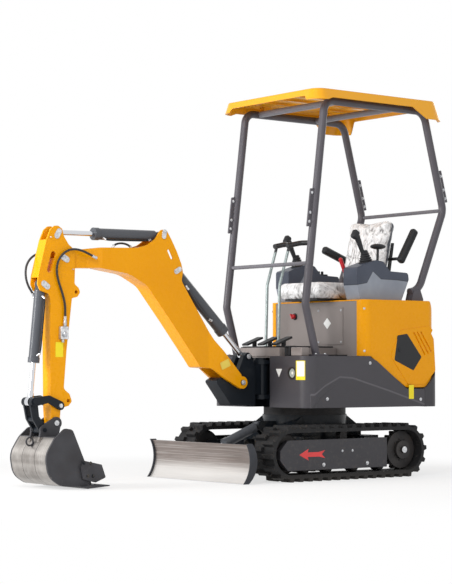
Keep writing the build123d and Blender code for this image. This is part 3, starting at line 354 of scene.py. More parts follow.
def trackRubber():
    finish = Finish("trackRubber")
    worn = finish.grain(9, 5, 0.7).above(0.56, 0.14)
    low = finish.axis("Z").below(0.02, 0.05)
    scuffs = finish.grain(40, 6, 0.75).above(0.62, 0.08)
    tone = finish.blend(worn * 0.5, seen(20, 20, 22), seen(32, 31, 33))
    tone = finish.blend(scuffs * 0.4, tone, seen(104, 96, 88))
    return finish.surface(
        finish.grain(260, 5, 0.7), 0.35, 0.0012, 0.003, gloss=0.35,
        colour=finish.blend(low * 0.35, tone, seen(84, 78, 70)), rough=0.72 + scuffs * 0.12)


def lineLevel(finish, line, low, high):
    # How far a point stands above a bent line drawn along the machine.
    start, end = line[0][0], line[-1][0]
    along = (finish.axis("X") - (start + slewX)) * (1 / (end - start))
    stops = [((x - start) / (end - start), (z - low) / (high - low)) for x, z in line]
    level = finish.node("ShaderNodeValToRGB", {"stops": stops}, {"Fac": along})
    return finish.axis("Z") - low - level * (high - low)


crease = {
    "line": [
        (-0.602, 0.437), (-0.29, 0.527), (0.015, 0.607), (0.119, 0.614), (0.239, 0.561), (0.317, 0.509)],
    "low": 0.40, "high": 0.65, "flank": 0.45, "soft": 0.007,
    # the lighter edge tone is a painted highlight along the step, the pressed tone a painted shade below it
    "tone": seen(68, 66, 71), "shade": seen(60, 59, 63), "creaseHighlight": seen(128, 125, 130),
    "pressedShade": seen(56, 55, 59),
}


def creasedPanel():
    # Powder-coated panels with a pressed step that runs along each flank; a painted highlight runs along the
    # step, and the panel below it gets painted shade.
    finish = Finish("creasedPanel")
    step = lineLevel(finish, crease["line"], crease["low"], crease["high"])
    soft = crease["soft"]
    flank = abs(finish.axis("Y")).above(crease["flank"], 0.002)
    pressed = step.below(0, soft) * flank
    tone = finish.blend(finish.grain(3, 4, 0.6).above(0.5, 0.2) * 0.5, crease["tone"], crease["shade"])
    # painted highlight: a light line along the pressed step
    tone = finish.blend(step.near(0, soft * 0.7, soft * 0.6) * flank * 0.35, tone, crease["creaseHighlight"])
    return finish.surface(
        pressed + finish.grain(900, 2) * 0.06, 0.6, 0.006, 0.005, gloss=0.35,
        # painted shade: below the step the flank is darkened
        colour=finish.blend(pressed * 0.35, tone, crease["pressedShade"]),
        rough=finish.grain(60, 3) * 0.2 + 0.3)


def castIron():
    finish = Finish("castIron")
    tone = finish.blend(finish.grain(8, 5).above(0.5, 0.2), seen(36, 35, 37), seen(58, 55, 54))
    return finish.surface(
        finish.grain(180, 4, 0.7), 0.35, 0.001, colour=tone, metal=0.35,
        rough=finish.grain(50, 4) * 0.2 + 0.5)


def chromeRod():
    finish = Finish("chromeRod")
    return finish.set(colour=seen(214, 216, 220), metal=1.0, rough=finish.grain(90, 3) * 0.06 + 0.09)


def zincPlate():
    finish = Finish("zincPlate")
    tone = finish.blend(finish.grain(70, 4).above(0.5, 0.25), seen(226, 227, 228), seen(176, 178, 184))
    return finish.surface(
        finish.grain(500, 2), 0.08, 0.0004, 0.001, colour=tone, metal=0.7,
        rough=finish.grain(120, 3) * 0.15 + 0.22)


def mouldedPlastic(name, colour, shade, rough=0.5, scale=900, strength=0.25):
    finish = Finish(name)
    tone = finish.blend(finish.grain(4, 3).above(0.5, 0.3) * 0.6, colour, shade)
    return finish.surface(
        finish.grain(scale, 3), strength, 0.0005, 0.003, colour=tone, gloss=0.35,
        rough=finish.grain(80, 3) * 0.15 + (rough - 0.07))


console = {
    "split": [
        (-0.53, 1.206), (-0.425, 1.214), (-0.29, 1.216), (-0.223, 1.262), (-0.173, 1.19),
        (-0.09, 1.176), (-0.02, 1.17)],
    "low": 1.08, "high": 1.34, "grooveHalf": 0.0018, "groove": seen(24, 26, 30),
    "upper": (seen(72, 78, 92), seen(60, 66, 80)), "lower": (seen(150, 157, 168), seen(128, 134, 146)),
}


def consolePlastic():
    # A slate upper shell over a pale lower shell, split along a stepped line.
    finish = Finish("consoleShell")
    step = lineLevel(finish, console["split"], console["low"], console["high"])
    tones = finish.grain(6, 3).above(0.5, 0.3)
    upper = finish.blend(tones, *console["upper"])
    lower = finish.blend(tones, *console["lower"])
    groove = step.near(0, console["grooveHalf"], 0.0008)
    tone = finish.blend(step.above(0, 0.0005), lower, upper)
    return finish.surface(
        finish.grain(800, 3) * 0.15 - groove, 0.35, 0.0016, 0.009, gloss=0.4,
        colour=finish.blend(groove * 0.8, tone, console["groove"]), rough=finish.grain(80, 3) * 0.15 + 0.36)


def glossRoof():
    finish = Finish("roofShell")
    drift = finish.grain(1.6, 3).above(0.5, 0.3)
    return finish.surface(
        finish.grain(6, 3), 0.05, 0.004, 0.008, gloss=0.3, coat=0.15, coatRough=0.08,
        colour=finish.blend(drift * 0.5, seen(244, 172, 22), seen(234, 156, 20)),
        rough=finish.grain(30, 3) * 0.08 + 0.2)


lamp = {"y": 0.319, "z": 0.638, "lens": 0.027, "bulb": 0.009, "ribs": 2100}


def lampGlass():
    # Ribbed lenses with a bright bulb seat, in black housings.
    finish = Finish("lampLens")
    across = abs(finish.axis("Y")) - lamp["y"]
    up = finish.axis("Z") - lamp["z"]
    radius = (across * across + up * up).math("SQRT")
    ribs = (across * lamp["ribs"]).math("SINE")
    glass = finish.blend(ribs.above(0, 0.7) * 0.5, seen(178, 186, 180), seen(122, 130, 126))
    glass = finish.blend(radius.below(lamp["bulb"], 0.001), glass, seen(240, 238, 226))
    lens = radius.below(lamp["lens"], 0.0006)
    return finish.surface(
        ribs * lens, 0.3, 0.0008, coat=0.3, colour=finish.blend(lens, seen(22, 22, 24), glass),
        rough=lens * -0.3 + 0.45)


travelLever = {"gripLow": 1.385, "grip": seen(26, 27, 30), "rod": (seen(158, 168, 166), seen(128, 138, 138))}


def leverRods():
    # Zinc-grey rods under black grips.
    finish = Finish("leverRods")
    grip = finish.axis("Z").above(travelLever["gripLow"], 0.002)
    rod = finish.blend(finish.grain(60, 3).above(0.5, 0.3), *travelLever["rod"])
    return finish.surface(
        finish.grain(700, 2), 0.12, 0.0004, colour=finish.blend(grip, rod, travelLever["grip"]),
        metal=grip * -0.5 + 0.5, rough=finish.grain(90, 3) * 0.12 + 0.3)


def arrowRed():
    finish = Finish("arrowRed")
    chips = finish.grain(60, 5).above(0.62, 0.06) * 0.3
    return finish.set(colour=finish.blend(chips, seen(222, 62, 64), seen(180, 50, 52)), rough=0.4)


finishes = {
    "yellow_paint": enamel("yellowEnamel", seen(240, 162, 0), seen(233, 152, 0)),
    "grey_paint": powderCoat("greyPowder", seen(62, 61, 65), seen(55, 54, 58), 0.42, 0.005, 0.1),
    "tube_paint": powderCoat("tubePowder", seen(84, 81, 87), seen(75, 73, 79), 0.36),
    "warm_grey_paint": powderCoat("warmGreyPowder", seen(140, 132, 129), seen(130, 122, 119), 0.45),
    "black_paint": enamel("blackEnamel", seen(24, 29, 35), seen(31, 35, 41), 0.32, 0.3),
    "cylinder_paint": enamel("cylinderEnamel", seen(84, 86, 91), seen(72, 75, 80), 0.3, 0.1),
    "bare_steel": bucketSteel(),
    "chrome_rod": chromeRod(),
    "zinc": zincPlate(),
    "track_rubber": trackRubber(),
    "iron": castIron(),
    "roof_plastic": glossRoof(),
    "console_plastic": consolePlastic(),
    "black_plastic": mouldedPlastic("blackPlastic", seen(32, 33, 36), seen(26, 27, 30)),
    "seat_vinyl": mouldedPlastic("seatVinyl", seen(60, 58, 58), seen(44, 43, 43), 0.45, 300, 0.4),
    "lamp_glass": lampGlass(),
    "redKnob": mouldedPlastic("redKnob", seen(196, 34, 42), seen(172, 26, 34), 0.32),
    "plainWhite": mouldedPlastic("plainWhite", seen(240, 240, 238), seen(232, 232, 230), 0.4, 300, 0.05),
    "plainYellow": mouldedPlastic("plainYellow", seen(246, 226, 40), seen(240, 216, 34), 0.4, 300, 0.05),
    "paleYellow": mouldedPlastic("paleYellow", seen(240, 214, 96), seen(234, 204, 84), 0.4, 300, 0.05),
    "floorRubber": mouldedPlastic("floorRubber", seen(30, 30, 33), seen(38, 37, 40), 0.7, 140, 0.6),
    "hoseRubber": mouldedPlastic("hoseRubber", seen(52, 52, 54), seen(40, 40, 42), 0.5, 500, 0.4),
    "arrowRed": arrowRed(),
}

ownFinish = {
    "blade": bladeSteel(),
    "side_panels": creasedPanel(),
    "travel_levers": leverRods(),
    "canopy_crossbars": powderCoat("barPowder", seen(112, 110, 116), seen(98, 96, 102), 0.3),
}

slotOf = {entry["node"]: entry["material_slot"] for entry in frame["record"]["subparts"]}


def coat(piece, material):
    piece.data.materials.clear()
    piece.data.materials.append(material)


for nodeName, nodeObject in frame["nodes"].items():
    coat(nodeObject, ownFinish.get(nodeName) or finishes[slotOf[nodeName]])
print("finishes set on", len(frame["nodes"]), "nodes")


# Making pieces

def begin():
    if bpy.context.object and bpy.context.object.mode != "OBJECT":
        bpy.ops.object.mode_set(mode="OBJECT")
    for item in list(bpy.context.selected_objects):
        item.select_set(False)


def fresh(add, **settings):
    # A new primitive, with nothing else selected.
    begin()
    add(**settings)
    return bpy.context.object


def pick(piece):
    begin()
    piece.select_set(True)
    bpy.context.view_layer.objects.active = piece


def settle(piece):
    pick(piece)
    bpy.ops.object.transform_apply(location=True, rotation=True, scale=True)
    return piece


def modify(piece, kind, **settings):
    modifier = piece.modifiers.new(kind.lower(), kind)
    for key, value in settings.items():
        setattr(modifier, key, value)
    pick(piece)
    bpy.ops.object.modifier_apply(modifier=modifier.name)
    return piece


def join(shapes, name):
    pick(shapes[0])
    for shape in shapes:
        shape.select_set(True)
    if len(shapes) > 1:
        bpy.ops.object.join()
    piece = bpy.context.view_layer.objects.active
    piece.name = name
    return piece


def finishPiece(shapes, name, body, slotName, own=None, angle=35):
    piece = join(shapes if isinstance(shapes, list) else [shapes], name)
    settle(piece)
    coat(piece, finishes[own or slotName])
    pick(piece)
    bpy.ops.object.shade_smooth_by_angle(angle=math.radians(angle))
    if body:
        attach(piece, body)
    return piece


def editFaces(piece, wanted):
    # Goes into edit mode with only the wanted faces selected.
    pick(piece)
    for group in (piece.data.edges, piece.data.vertices):
        for item in group:
            item.select = False
    for polygon in piece.data.polygons:
        polygon.select = bool(wanted(polygon))
        if polygon.select:
            for index in polygon.vertices:
                piece.data.vertices[index].select = True
    bpy.ops.object.mode_set(mode="EDIT")
    bpy.ops.mesh.select_mode(type="FACE")


def allFaces(polygon):
    return True


def leaveEdit(outward=False):
    if outward:
        bpy.ops.mesh.select_all(action="SELECT")
        bpy.ops.mesh.normals_make_consistent(inside=False)
    bpy.ops.object.mode_set(mode="OBJECT")


def insetFaces(piece, facing, thickness, depth):
    # Insets the flat faces that look one way.
    editFaces(piece, lambda polygon: polygon.normal.dot(Vector(facing)) > 0.99)
    bpy.ops.mesh.inset(thickness=thickness, depth=depth)
    leaveEdit()
    return piece


def turnTo(facing, spin=0.0):
    return Vector(facing).to_track_quat("Z", "Y") @ Quaternion((0, 0, 1), spin)


def addDisc(radius, height, sides=24, bevel=0.0008, place=(0, 0, 0), facing=(0, 0, 1)):
    # A short round body standing on its place, with its rim bevelled.
    facing = Vector(facing).normalized()
    piece = fresh(
        bpy.ops.mesh.primitive_cylinder_add, vertices=sides, radius=radius, depth=height,
        location=Vector(place) + facing * height / 2, rotation=turnTo(facing).to_euler())
    return modify(settle(piece), "BEVEL", width=bevel, segments=1)


def addRod(start, end, radius, sides=16):
    return addDisc(radius, (end - start).length, sides, radius * 0.25, start, end - start)


def addBlock(low, high, bevel=0.003, segments=2):
    low, high = Vector(low), Vector(high)
    piece = fresh(bpy.ops.mesh.primitive_cube_add, size=1, location=(low + high) / 2)
    piece.scale = high - low
    return modify(settle(piece), "BEVEL", width=bevel, segments=segments)


def raiseFlat(piece, corner, thick):
    # A flat face gets rounded corners and a thickness.
    editFaces(piece, allFaces)
    if corner:
        bpy.ops.mesh.bevel(offset=corner, segments=3, affect="VERTICES")
        bpy.ops.mesh.select_all(action="SELECT")
    bpy.ops.mesh.extrude_region_move(TRANSFORM_OT_translate={"value": thick})
    leaveEdit(True)
    return piece


def layOn(piece, place, facing, spin=0.0):
    piece.rotation_euler = turnTo(facing, spin).to_euler()
    piece.location = place
    return settle(piece)


def addPlate(place, facing, width, height, thick=0.0008, corner=0.004, spin=0.0):
    piece = fresh(bpy.ops.mesh.primitive_plane_add, size=1)
    piece.scale = (width, height, 1)
    settle(piece)
    return layOn(raiseFlat(piece, corner, (0, 0, thick)), place, facing, spin)


def stamp(master, place, facing, size=1.0, spin=0.0):
    # A copy of a finished master, with its own mesh, stood on a surface.
    copy = master.copy()
    copy.data = master.data.copy()
    bpy.context.scene.collection.objects.link(copy)
    turn = turnTo(facing, spin).to_matrix().to_4x4()
    copy.matrix_world = Matrix.Translation(place) @ turn @ Matrix.Diagonal((size, size, size, 1))
    return copy


far = 2.4  # outside the machine


def touch(nodeName, start, along):
    # Where a straight line first meets a node, and the way the surface faces there.
    hit, place, normal, _ = frame["nodes"][nodeName].ray_cast(Vector(start), Vector(along).normalized())
    if not hit:
        raise ValueError("nothing met on " + nodeName + " from " + str(start))
    return place, normal


def sideSpot(nodeName, x, z, side=1):
    return touch(nodeName, at(x, side * far, z), (0, -side, 0))


def frontSpot(nodeName, y, z):
    return touch(nodeName, at(far, y, z), (-1, 0, 0))


def topSpot(nodeName, x, y, start=far):
    return touch(nodeName, at(x, y, start), (0, 0, -1))


bolt = {
    "radius": 0.008, "head": 0.0062, "washer": 0.0125, "washerHeight": 0.0022, "washerEdge": 0.0006,
    "headEdge": 0.001, "chamfer": 0.0016, "crown": 0.0006, "turn": 0.4,
}


def makeBolt():
    # A hex head with chamfered corners on a flanged washer.
    washer = addDisc(bolt["washer"], bolt["washerHeight"], 20, bolt["washerEdge"])
    head = addDisc(bolt["radius"], bolt["head"], 6, bolt["headEdge"], (0, 0, bolt["washerHeight"]))
    insetFaces(head, (0, 0, 1), bolt["chamfer"], bolt["crown"])
    return join([washer, head], "boltMaster")


nipple = {"foot": (0.0045, 0.004), "cone": (0.0036, 0.002, 0.008), "nose": (0.0028, 0.003), "noseZ": 0.0115}


def makeNipple():
    # A grease nipple: a hex foot, a cone and a round nose.
    foot = addDisc(*nipple["foot"], 6, 0.0004)
    wide, narrow, height = nipple["cone"]
    cone = settle(fresh(
        bpy.ops.mesh.primitive_cone_add, vertices=12, radius1=wide, radius2=narrow, depth=height,
        location=(0, 0, height)))
    nose = addDisc(*nipple["nose"], 12, 0.001, (0, 0, nipple["noseZ"]))
    return join([foot, cone, nose], "nippleMaster")


masters = {"bolt": makeBolt(), "nipple": makeNipple()}


def boltRow(name, body, spots, size=1.0, slotName="zinc", kind="bolt"):
    # spots are pairs of a place and the way the surface faces there
    copies = [stamp(masters[kind], *spot, size, bolt["turn"] * index) for index, spot in enumerate(spots)]
    return finishPiece(copies, name, body, slotName)


# Undercarriage and bucket trim

covers = ((1, "track_cover_left"), (-1, "track_cover_right"))

cover = {
    "coverBolts": ([(0.246, 0.095), (-0.103, 0.094)], 0.95),  # places and size
    "coverRivets": ([(0.098, 0.173), (0.017, 0.173)], 0.6),
}


def coverBolts():
    for name, (places, size) in cover.items():
        spots = [sideSpot(node, x, z, side) for x, z in places for side, node in covers]
        boltRow(name, "undercarriage", spots, size)


arrow = {
    "tail": 0.236, "notch": 0.262, "tip": 0.437, "neck": 0.366, "barb": 0.006, "middle": 0.158,
    "headHalf": 0.034, "shaftHalf": 0.0135, "tailHalf": 0.024, "waist": 0.285, "thick": 0.0006,
}


def coverArrow():
    # A plain direction arrow with a cut tail, laid on the cover.
    upper = [
        (arrow["neck"], arrow["headHalf"]), (arrow["neck"] + arrow["barb"], arrow["shaftHalf"]),
        (arrow["waist"], arrow["shaftHalf"]), (arrow["tail"], arrow["tailHalf"])]
    lower = [(x, -z) for x, z in reversed(upper)]
    outline = [(arrow["tip"], 0), *upper, (arrow["notch"], 0), *lower]
    arrows = []
    for side, node in covers:
        face = sideSpot(node, arrow["waist"], arrow["middle"], side)[0]
        piece = fresh(bpy.ops.mesh.primitive_circle_add, vertices=len(outline), fill_type="NGON")
        for vertex, (x, z) in zip(piece.data.vertices, outline):
            vertex.co = at(x, face.y, arrow["middle"] + z)
        arrows.append(raiseFlat(piece, 0, (0, side * arrow["thick"], 0)))
    finishPiece(arrows, "coverArrow", "undercarriage", "grey_paint", "arrowRed")


hub = {
    "x": -0.424, "z": 0.165, "boltCircle": 0.064, "bolts": 9, "boltSize": 0.62,
    "cap": (0.02, 0.004), "nut": (0.01, 0.007),
}


def hubTrim():
    spots = []
    caps = []
    for side in (1, -1):
        nose, facing = sideSpot("sprockets", hub["x"], hub["z"], side)
        caps.append(addDisc(*hub["cap"], 20, 0.001, nose, facing))
        caps.append(addDisc(*hub["nut"], 6, 0.001, nose, facing))
        for index in range(hub["bolts"]):
            angle = 2 * math.pi * index / hub["bolts"]
            spots.append(sideSpot(
                "sprockets", hub["x"] + hub["boltCircle"] * math.cos(angle),
                hub["z"] + hub["boltCircle"] * math.sin(angle), side))
    boltRow("hubBolts", "undercarriage", spots, hub["boltSize"], "iron")
    finishPiece(caps, "hubCaps", "undercarriage", "zinc")


cutter = {"bolts": [(1.779, 0.145), (1.752, 0.072), (1.735, 0.142), (1.719, 0.071)], "boltSize": 0.8}


def cutterBolts():
    spots = [sideSpot("bucket", x, z, side) for x, z in cutter["bolts"] for side in (1, -1)]
    boltRow("cutterBolts", "bucket", spots, cutter["boltSize"], "black_paint")


coverBolts()
coverArrow()
hubTrim()
cutterBolts()
print("undercarriage and bucket trim made")


# Platform, panels and hood

panels = {
    "panelBolts": ("side_panels", [(0.215, 0.484), (-0.125, 0.698), (-0.55, 0.474)], 0.85),
    "hoodBolts": ("engine_hood", [(-0.105, 1.03), (-0.105, 0.772)], 0.6),
}
rearPlate = {"x": -0.47, "z": 0.52, "width": 0.042, "height": 0.086, "thick": 0.001}
lock = {"x": -0.385, "z": 0.779, "radius": 0.011, "height": 0.004, "rim": 0.003, "sunk": -0.0015}


def panelTrim():
    for name, (node, places, size) in panels.items():
        boltRow(name, "upper", [sideSpot(node, x, z, side) for x, z in places for side in (1, -1)], size)
    spot = sideSpot("side_panels", rearPlate["x"], rearPlate["z"])
    plate = addPlate(*spot, rearPlate["width"], rearPlate["height"], rearPlate["thick"])
    finishPiece(plate, "rearPlate", "upper", "yellow_paint", "plainYellow")
    spot = sideSpot("hood_insets", lock["x"], lock["z"])
    barrel = addDisc(lock["radius"], lock["height"], 24, 0.001, *spot)
    insetFaces(barrel, spot[1], lock["rim"], lock["sunk"])
    finishPiece(barrel, "insetLock", "upper", "black_plastic")


latch = {"places": [(0.3, 0.877), (0.3, 0.833)], "stem": (0.009, 0.045), "ball": (0.016, 0.022)}


def rearKnobs():
    # Latch knobs of the rear door: a stem and a rounded head each.
    rearward = Vector((-1, 0, 0))
    shapes = []
    for y, z in latch["places"]:
        place = touch("engine_hood", at(-far, y, z), (1, 0, 0))[0]
        shapes.append(addDisc(*latch["stem"], 16, 0.001, place, rearward))
        shapes.append(addDisc(*latch["ball"], 20, 0.005, place + rearward * latch["stem"][1], rearward))
    finishPiece(shapes, "rearKnobs", "upper", "black_plastic")


frontPlates = {
    "frameX": 0.372, "cornerY": 0.385, "cornerRadius": 0.08, "cuts": (14, 2),
    "sheets": {  # low y, high y, low z, high z, lift, thickness and finish
        "frontPlateEdge": (0.356, 0.429, 0.597, 0.712, 0.0004, 0.0006, "plainYellow"),
        "frontPlate": (0.365, 0.4245, 0.6186, 0.7084, 0.0011, 0.0005, "plainWhite"),
    },
}


def wrappedSheet(name, lowY, highY, floorReflectionZ, highZ, lift, thick, tone):
    # A sheet plate that follows the frame's rounded corner.
    cutsX, cutsY = frontPlates["cuts"]
    piece = fresh(bpy.ops.mesh.primitive_grid_add, x_subdivisions=cutsX, y_subdivisions=cutsY, size=1)
    cornerY, cornerRadius = frontPlates["cornerY"], frontPlates["cornerRadius"]
    for vertex in piece.data.vertices:
        y = lowY + (vertex.co.x + 0.5) * (highY - lowY)
        z = floorReflectionZ + (vertex.co.y + 0.5) * (highZ - floorReflectionZ)
        turn = max(0, y - cornerY) / cornerRadius
        radius = cornerRadius + lift
        middleX = frontPlates["frameX"] - cornerRadius
        vertex.co = at(middleX + radius * math.cos(turn), min(y, cornerY) + radius * math.sin(turn), z)
    modify(piece, "SOLIDIFY", thickness=thick, offset=1)
    editFaces(piece, allFaces)
    leaveEdit(True)
    finishPiece(piece, name, "upper", "yellow_paint", tone)


triangle = {"y": 0.198, "z": 0.646, "radius": 0.034, "corner": 0.005, "thick": 0.0008}


def frontTrim():
    for name, sheet in frontPlates["sheets"].items():
        wrappedSheet(name, *sheet)
    spot = frontSpot("side_panels", triangle["y"], triangle["z"])
    piece = fresh(
        bpy.ops.mesh.primitive_circle_add, vertices=3, radius=triangle["radius"], fill_type="NGON")
    raiseFlat(piece, triangle["corner"], (0, 0, triangle["thick"]))
    layOn(piece, *spot, math.pi)
    finishPiece(piece, "frontTriangle", "upper", "yellow_paint", "plainWhite")


deck = {
    "middleSpot": (0.15, 0.1, 2), "sideSpot": (0.0, 0.3, 1.05), "clearance": 0.0003,
    "mat": ((-0.07, -0.19, 0), (0.355, 0.19, 0.005)), "ribs": 15, "rib": 0.004,
    "sideMats": ((-0.07, 0.215, 0), (0.34, 0.32, 0.005)),
    "boxes": {  # low and high corner, finish and the depth of the front recess
        "frontCase": ((0.305, 0.30, 0), (0.366, 0.40, 0.052), "warm_grey_paint", -0.004),
        "frontClamp": ((0.30, 0.235, 0), (0.362, 0.285, 0.062), "black_plastic", -0.01),
    },
    "boxEdge": 0.006, "boxRim": 0.007,
}


def groovedMat(low, high, name):
    # A rubber mat: its top is cut into strips, and every second strip is raised.
    strips = 2 * deck["ribs"]
    piece = fresh(bpy.ops.mesh.primitive_grid_add, x_subdivisions=strips, y_subdivisions=1, size=1)
    piece.scale = (high.x - low.x, high.y - low.y, 1)
    piece.location = ((low.x + high.x) / 2, (low.y + high.y) / 2, low.z)
    settle(piece)
    modify(piece, "SOLIDIFY", thickness=high.z - low.z, offset=1)
    step = (high.x - low.x) / strips
    editFaces(piece, lambda polygon: (
        polygon.normal.z > 0.9 and int((polygon.center.x - low.x) / step) % 2 == 0))
    bpy.ops.mesh.extrude_region_move(TRANSFORM_OT_translate={"value": (0, 0, deck["rib"])})
    leaveEdit(True)
    finishPiece(piece, name, "upper", "black_plastic", "floorRubber", 20)


def deckTrim():
    levels = {}
    for key in ("middleSpot", "sideSpot"):
        levels[key] = Vector((0, 0, topSpot("floor_deck", *deck[key])[0].z + deck["clearance"]))
    low, high = deck["mat"]
    groovedMat(at(*low) + levels["middleSpot"], at(*high) + levels["middleSpot"], "deckMat")
    low, high = deck["sideMats"]
    level = levels["sideSpot"]
    for side, name in ((1, "sideMatLeft"), (-1, "sideMatRight")):
        near, outer = sorted((side * low[1], side * high[1]))
        groovedMat(at(low[0], near, 0) + level, at(high[0], outer, high[2]) + level, name)
    for name, (low, high, slotName, depth) in deck["boxes"].items():
        piece = addBlock(at(*low) + level, at(*high) + level, deck["boxEdge"], 3)
        insetFaces(piece, (1, 0, 0), deck["boxRim"], depth)
        finishPiece(piece, name, "upper", slotName)


seatFront = {
    "coverBolts": [(0.036, 1.024), (0.246, 1.024), (0.036, 0.828), (0.246, 0.828)], "boltSize": 0.6,
    "diamond": (0.118, 0.944), "diamondWidth": 0.05, "switch": (-0.195, 0.993),
    "switchBase": (0.021, 0.006, 28, 0.0015), "switchKnob": (0.015, 0.02, 24, 0.003),
    "grip": ((-0.004, -0.018, 0), (0.004, 0.018, 0.014), 0.002), "gripLift": 0.022, "gripTurn": 0.5,
}


def seatBoxTrim():
    spots = [frontSpot("seat_box", y, z) for y, z in seatFront["coverBolts"]]
    boltRow("seatBoxBolts", "upper", spots, seatFront["boltSize"])
    width = seatFront["diamondWidth"]
    plate = addPlate(*frontSpot("seat_box", *seatFront["diamond"]), width, width, spin=math.pi / 4)
    finishPiece(plate, "diamondPlate", "upper", "yellow_paint", "plainWhite")
    place, facing = frontSpot("seat_box", *seatFront["switch"])
    base = addDisc(*seatFront["switchBase"], place, facing)
    finishPiece(base, "switchBase", "upper", "black_plastic")
    red = addDisc(*seatFront["switchKnob"], place + facing * seatFront["switchBase"][1], facing)
    grip = addBlock(*seatFront["grip"])
    layOn(grip, place + facing * seatFront["gripLift"], facing, seatFront["gripTurn"])
    finishPiece([red, grip], "switchKnob", "upper", "black_plastic", "redKnob")


panelTrim()
rearKnobs()
frontTrim()
deckTrim()
seatBoxTrim()
print("upper structure trim made")


# Canopy bolts

canopy = {
    "frames": (("canopy_frame_left", 1), ("canopy_frame_right", -1)), "postY": 0.38, "start": 0.1,
    "posts": (  # foot, top, reach from the post to its splice plate, and the bolts' heights
        ((0.318, 1.045), (0.162, 2.286), 0.036, (1.545, 1.60, 1.72)),
        ((-0.836, 1.668), (-0.667, 2.286), -0.036, (1.745, 1.80, 1.885))),
    "footX": 0.232, "footReach": 0.036, "footAbove": 0.95, "spliceSize": 0.75, "footSize": 0.8,
}


def canopyBolts():
    spots, feet = [], []
    reach = canopy["footReach"]
    for node, side in canopy["frames"]:
        y = side * canopy["postY"]
        for (footX, footZ), (topX, topZ), offset, levels in canopy["posts"]:
            for z in levels:
                x = footX + (z - footZ) / (topZ - footZ) * (topX - footX) + offset
                for outward in (side, -side):
                    spots.append(touch(node, at(x, y + outward * canopy["start"], z), (0, -outward, 0)))
        for dx in (-reach, reach):
            for dy in (-reach, reach):
                feet.append(topSpot(node, canopy["footX"] + dx, y + dy, canopy["footAbove"]))
    boltRow("spliceBolts", "upper", spots, canopy["spliceSize"])
    boltRow("footBolts", "upper", feet, canopy["footSize"])


canopyBolts()
print("canopy trim made")


# Operator's controls

lockLever = {
    "base": (-0.18, 0.24, 1.10), "top": (-0.126, 0.24, 1.257), "end": (-0.085, 0.24, 1.343),
    "rod": 0.006, "grip": 0.0125, "overlap": 0.12, "crown": 0.003,
}
bladeLever = {
    "base": (-0.352, 0.285, 1.25), "top": (-0.36, 0.285, 1.425), "head": (0.052, 0.046, 0.018),
    "stem": 0.008, "boot": 0.019, "bootShare": 0.34, "bootRim": 0.006, "bootTop": 0.012,
}


def controls():
    base, top, end = (at(*lockLever[key]) for key in ("base", "top", "end"))
    finishPiece(addRod(base, top, lockLever["rod"]), "lockLeverRod", "upper", "black_plastic")
    grip = addRod(top - (end - top) * lockLever["overlap"], end, lockLever["grip"], 20)
    insetFaces(grip, (end - top).normalized(), lockLever["crown"], lockLever["crown"])
    finishPiece(grip, "lockLeverGrip", "upper", "black_plastic", "redKnob")
    base, top = at(*bladeLever["base"]), at(*bladeLever["top"])
    boot = addRod(base, base + (top - base) * bladeLever["bootShare"], bladeLever["boot"], 20)
    insetFaces(boot, (0, 0, 1), bladeLever["bootRim"], bladeLever["bootTop"])
    head = fresh(bpy.ops.mesh.primitive_uv_sphere_add, segments=24, ring_count=12, radius=1, location=top)
    head.scale = bladeLever["head"]
    settle(head)
    stem = addRod(base, top, bladeLever["stem"])
    finishPiece([stem, boot, head], "bladeLever", "upper", "black_plastic")


bellows = {
    "x": -0.222, "y": 0.325, "besideGrip": 0.03, "rings": 6, "step": 0.0135, "height": 0.0105,
    "foot": 0.046, "top": 0.021, "waist": 0.82, "ringEdge": 0.0035, "lean": math.radians(9),
}


def stickBellows():
    # Ribbed boots around the joysticks, narrowing upwards.
    shapes = []
    axis = Vector((math.sin(bellows["lean"]), 0, math.cos(bellows["lean"])))
    for side in (1, -1):
        foot = topSpot("consoles", bellows["x"] + bellows["besideGrip"], side * bellows["y"])[0]
        foot.x -= bellows["besideGrip"]
        for index in range(bellows["rings"]):
            share = index / (bellows["rings"] - 1)
            radius = bellows["foot"] + (bellows["top"] - bellows["foot"]) * share
            place = foot + axis * index * bellows["step"]
            shapes.append(addDisc(radius, bellows["height"], 28, bellows["ringEdge"], place, axis))
            shapes.append(addDisc(radius * bellows["waist"], bellows["step"], 28, 0.001, place, axis))
    finishPiece(shapes, "stickBellows", "upper", "black_plastic")


switches = {
    "low": (-0.46, -0.37), "high": (-0.36, -0.30), "height": 0.012, "sunk": 0.004,
    "knobs": (-0.44, -0.41, -0.38), "knob": (0.009, 0.02, 18, 0.002),
}


def switchPanel():
    # A small panel with three round switches on the right console.
    (lowX, lowY), (highX, highY) = switches["low"], switches["high"]
    middleY = (lowY + highY) / 2
    level = topSpot("consoles", (lowX + highX) / 2, middleY)[0].z
    top = level + switches["height"]
    shapes = [addBlock(at(lowX, lowY, level - switches["sunk"]), at(highX, highY, top), switches["sunk"])]
    for x in switches["knobs"]:
        shapes.append(addDisc(*switches["knob"], at(x, middleY, top)))
    finishPiece(shapes, "switchPanel", "upper", "black_plastic")


controls()
stickBellows()
switchPanel()
print("controls made")


# Boom and arm trim

pins = {
    "keepers": {  # pin and the way its keeper plate leans
        "boom": [((1.018, 1.246), -30), ((1.128, 1.440), 100)],
        "arm": [((1.846, 1.431), -60), ((1.940, 1.137), 215), ((1.795, 1.280), 30)]},
    "boltReach": 0.024, "boltSize": 0.55,
    "bracketPins": [(0.557, 0.581), (0.496, 0.737)], "cap": (0.0155, 0.003, 24, 0.001),
    "capNut": (0.006, 0.0055, 6, 0.0008),
    "nipples": [(1.756, 1.335), (1.752, 1.225), (1.90, 1.40)],
}


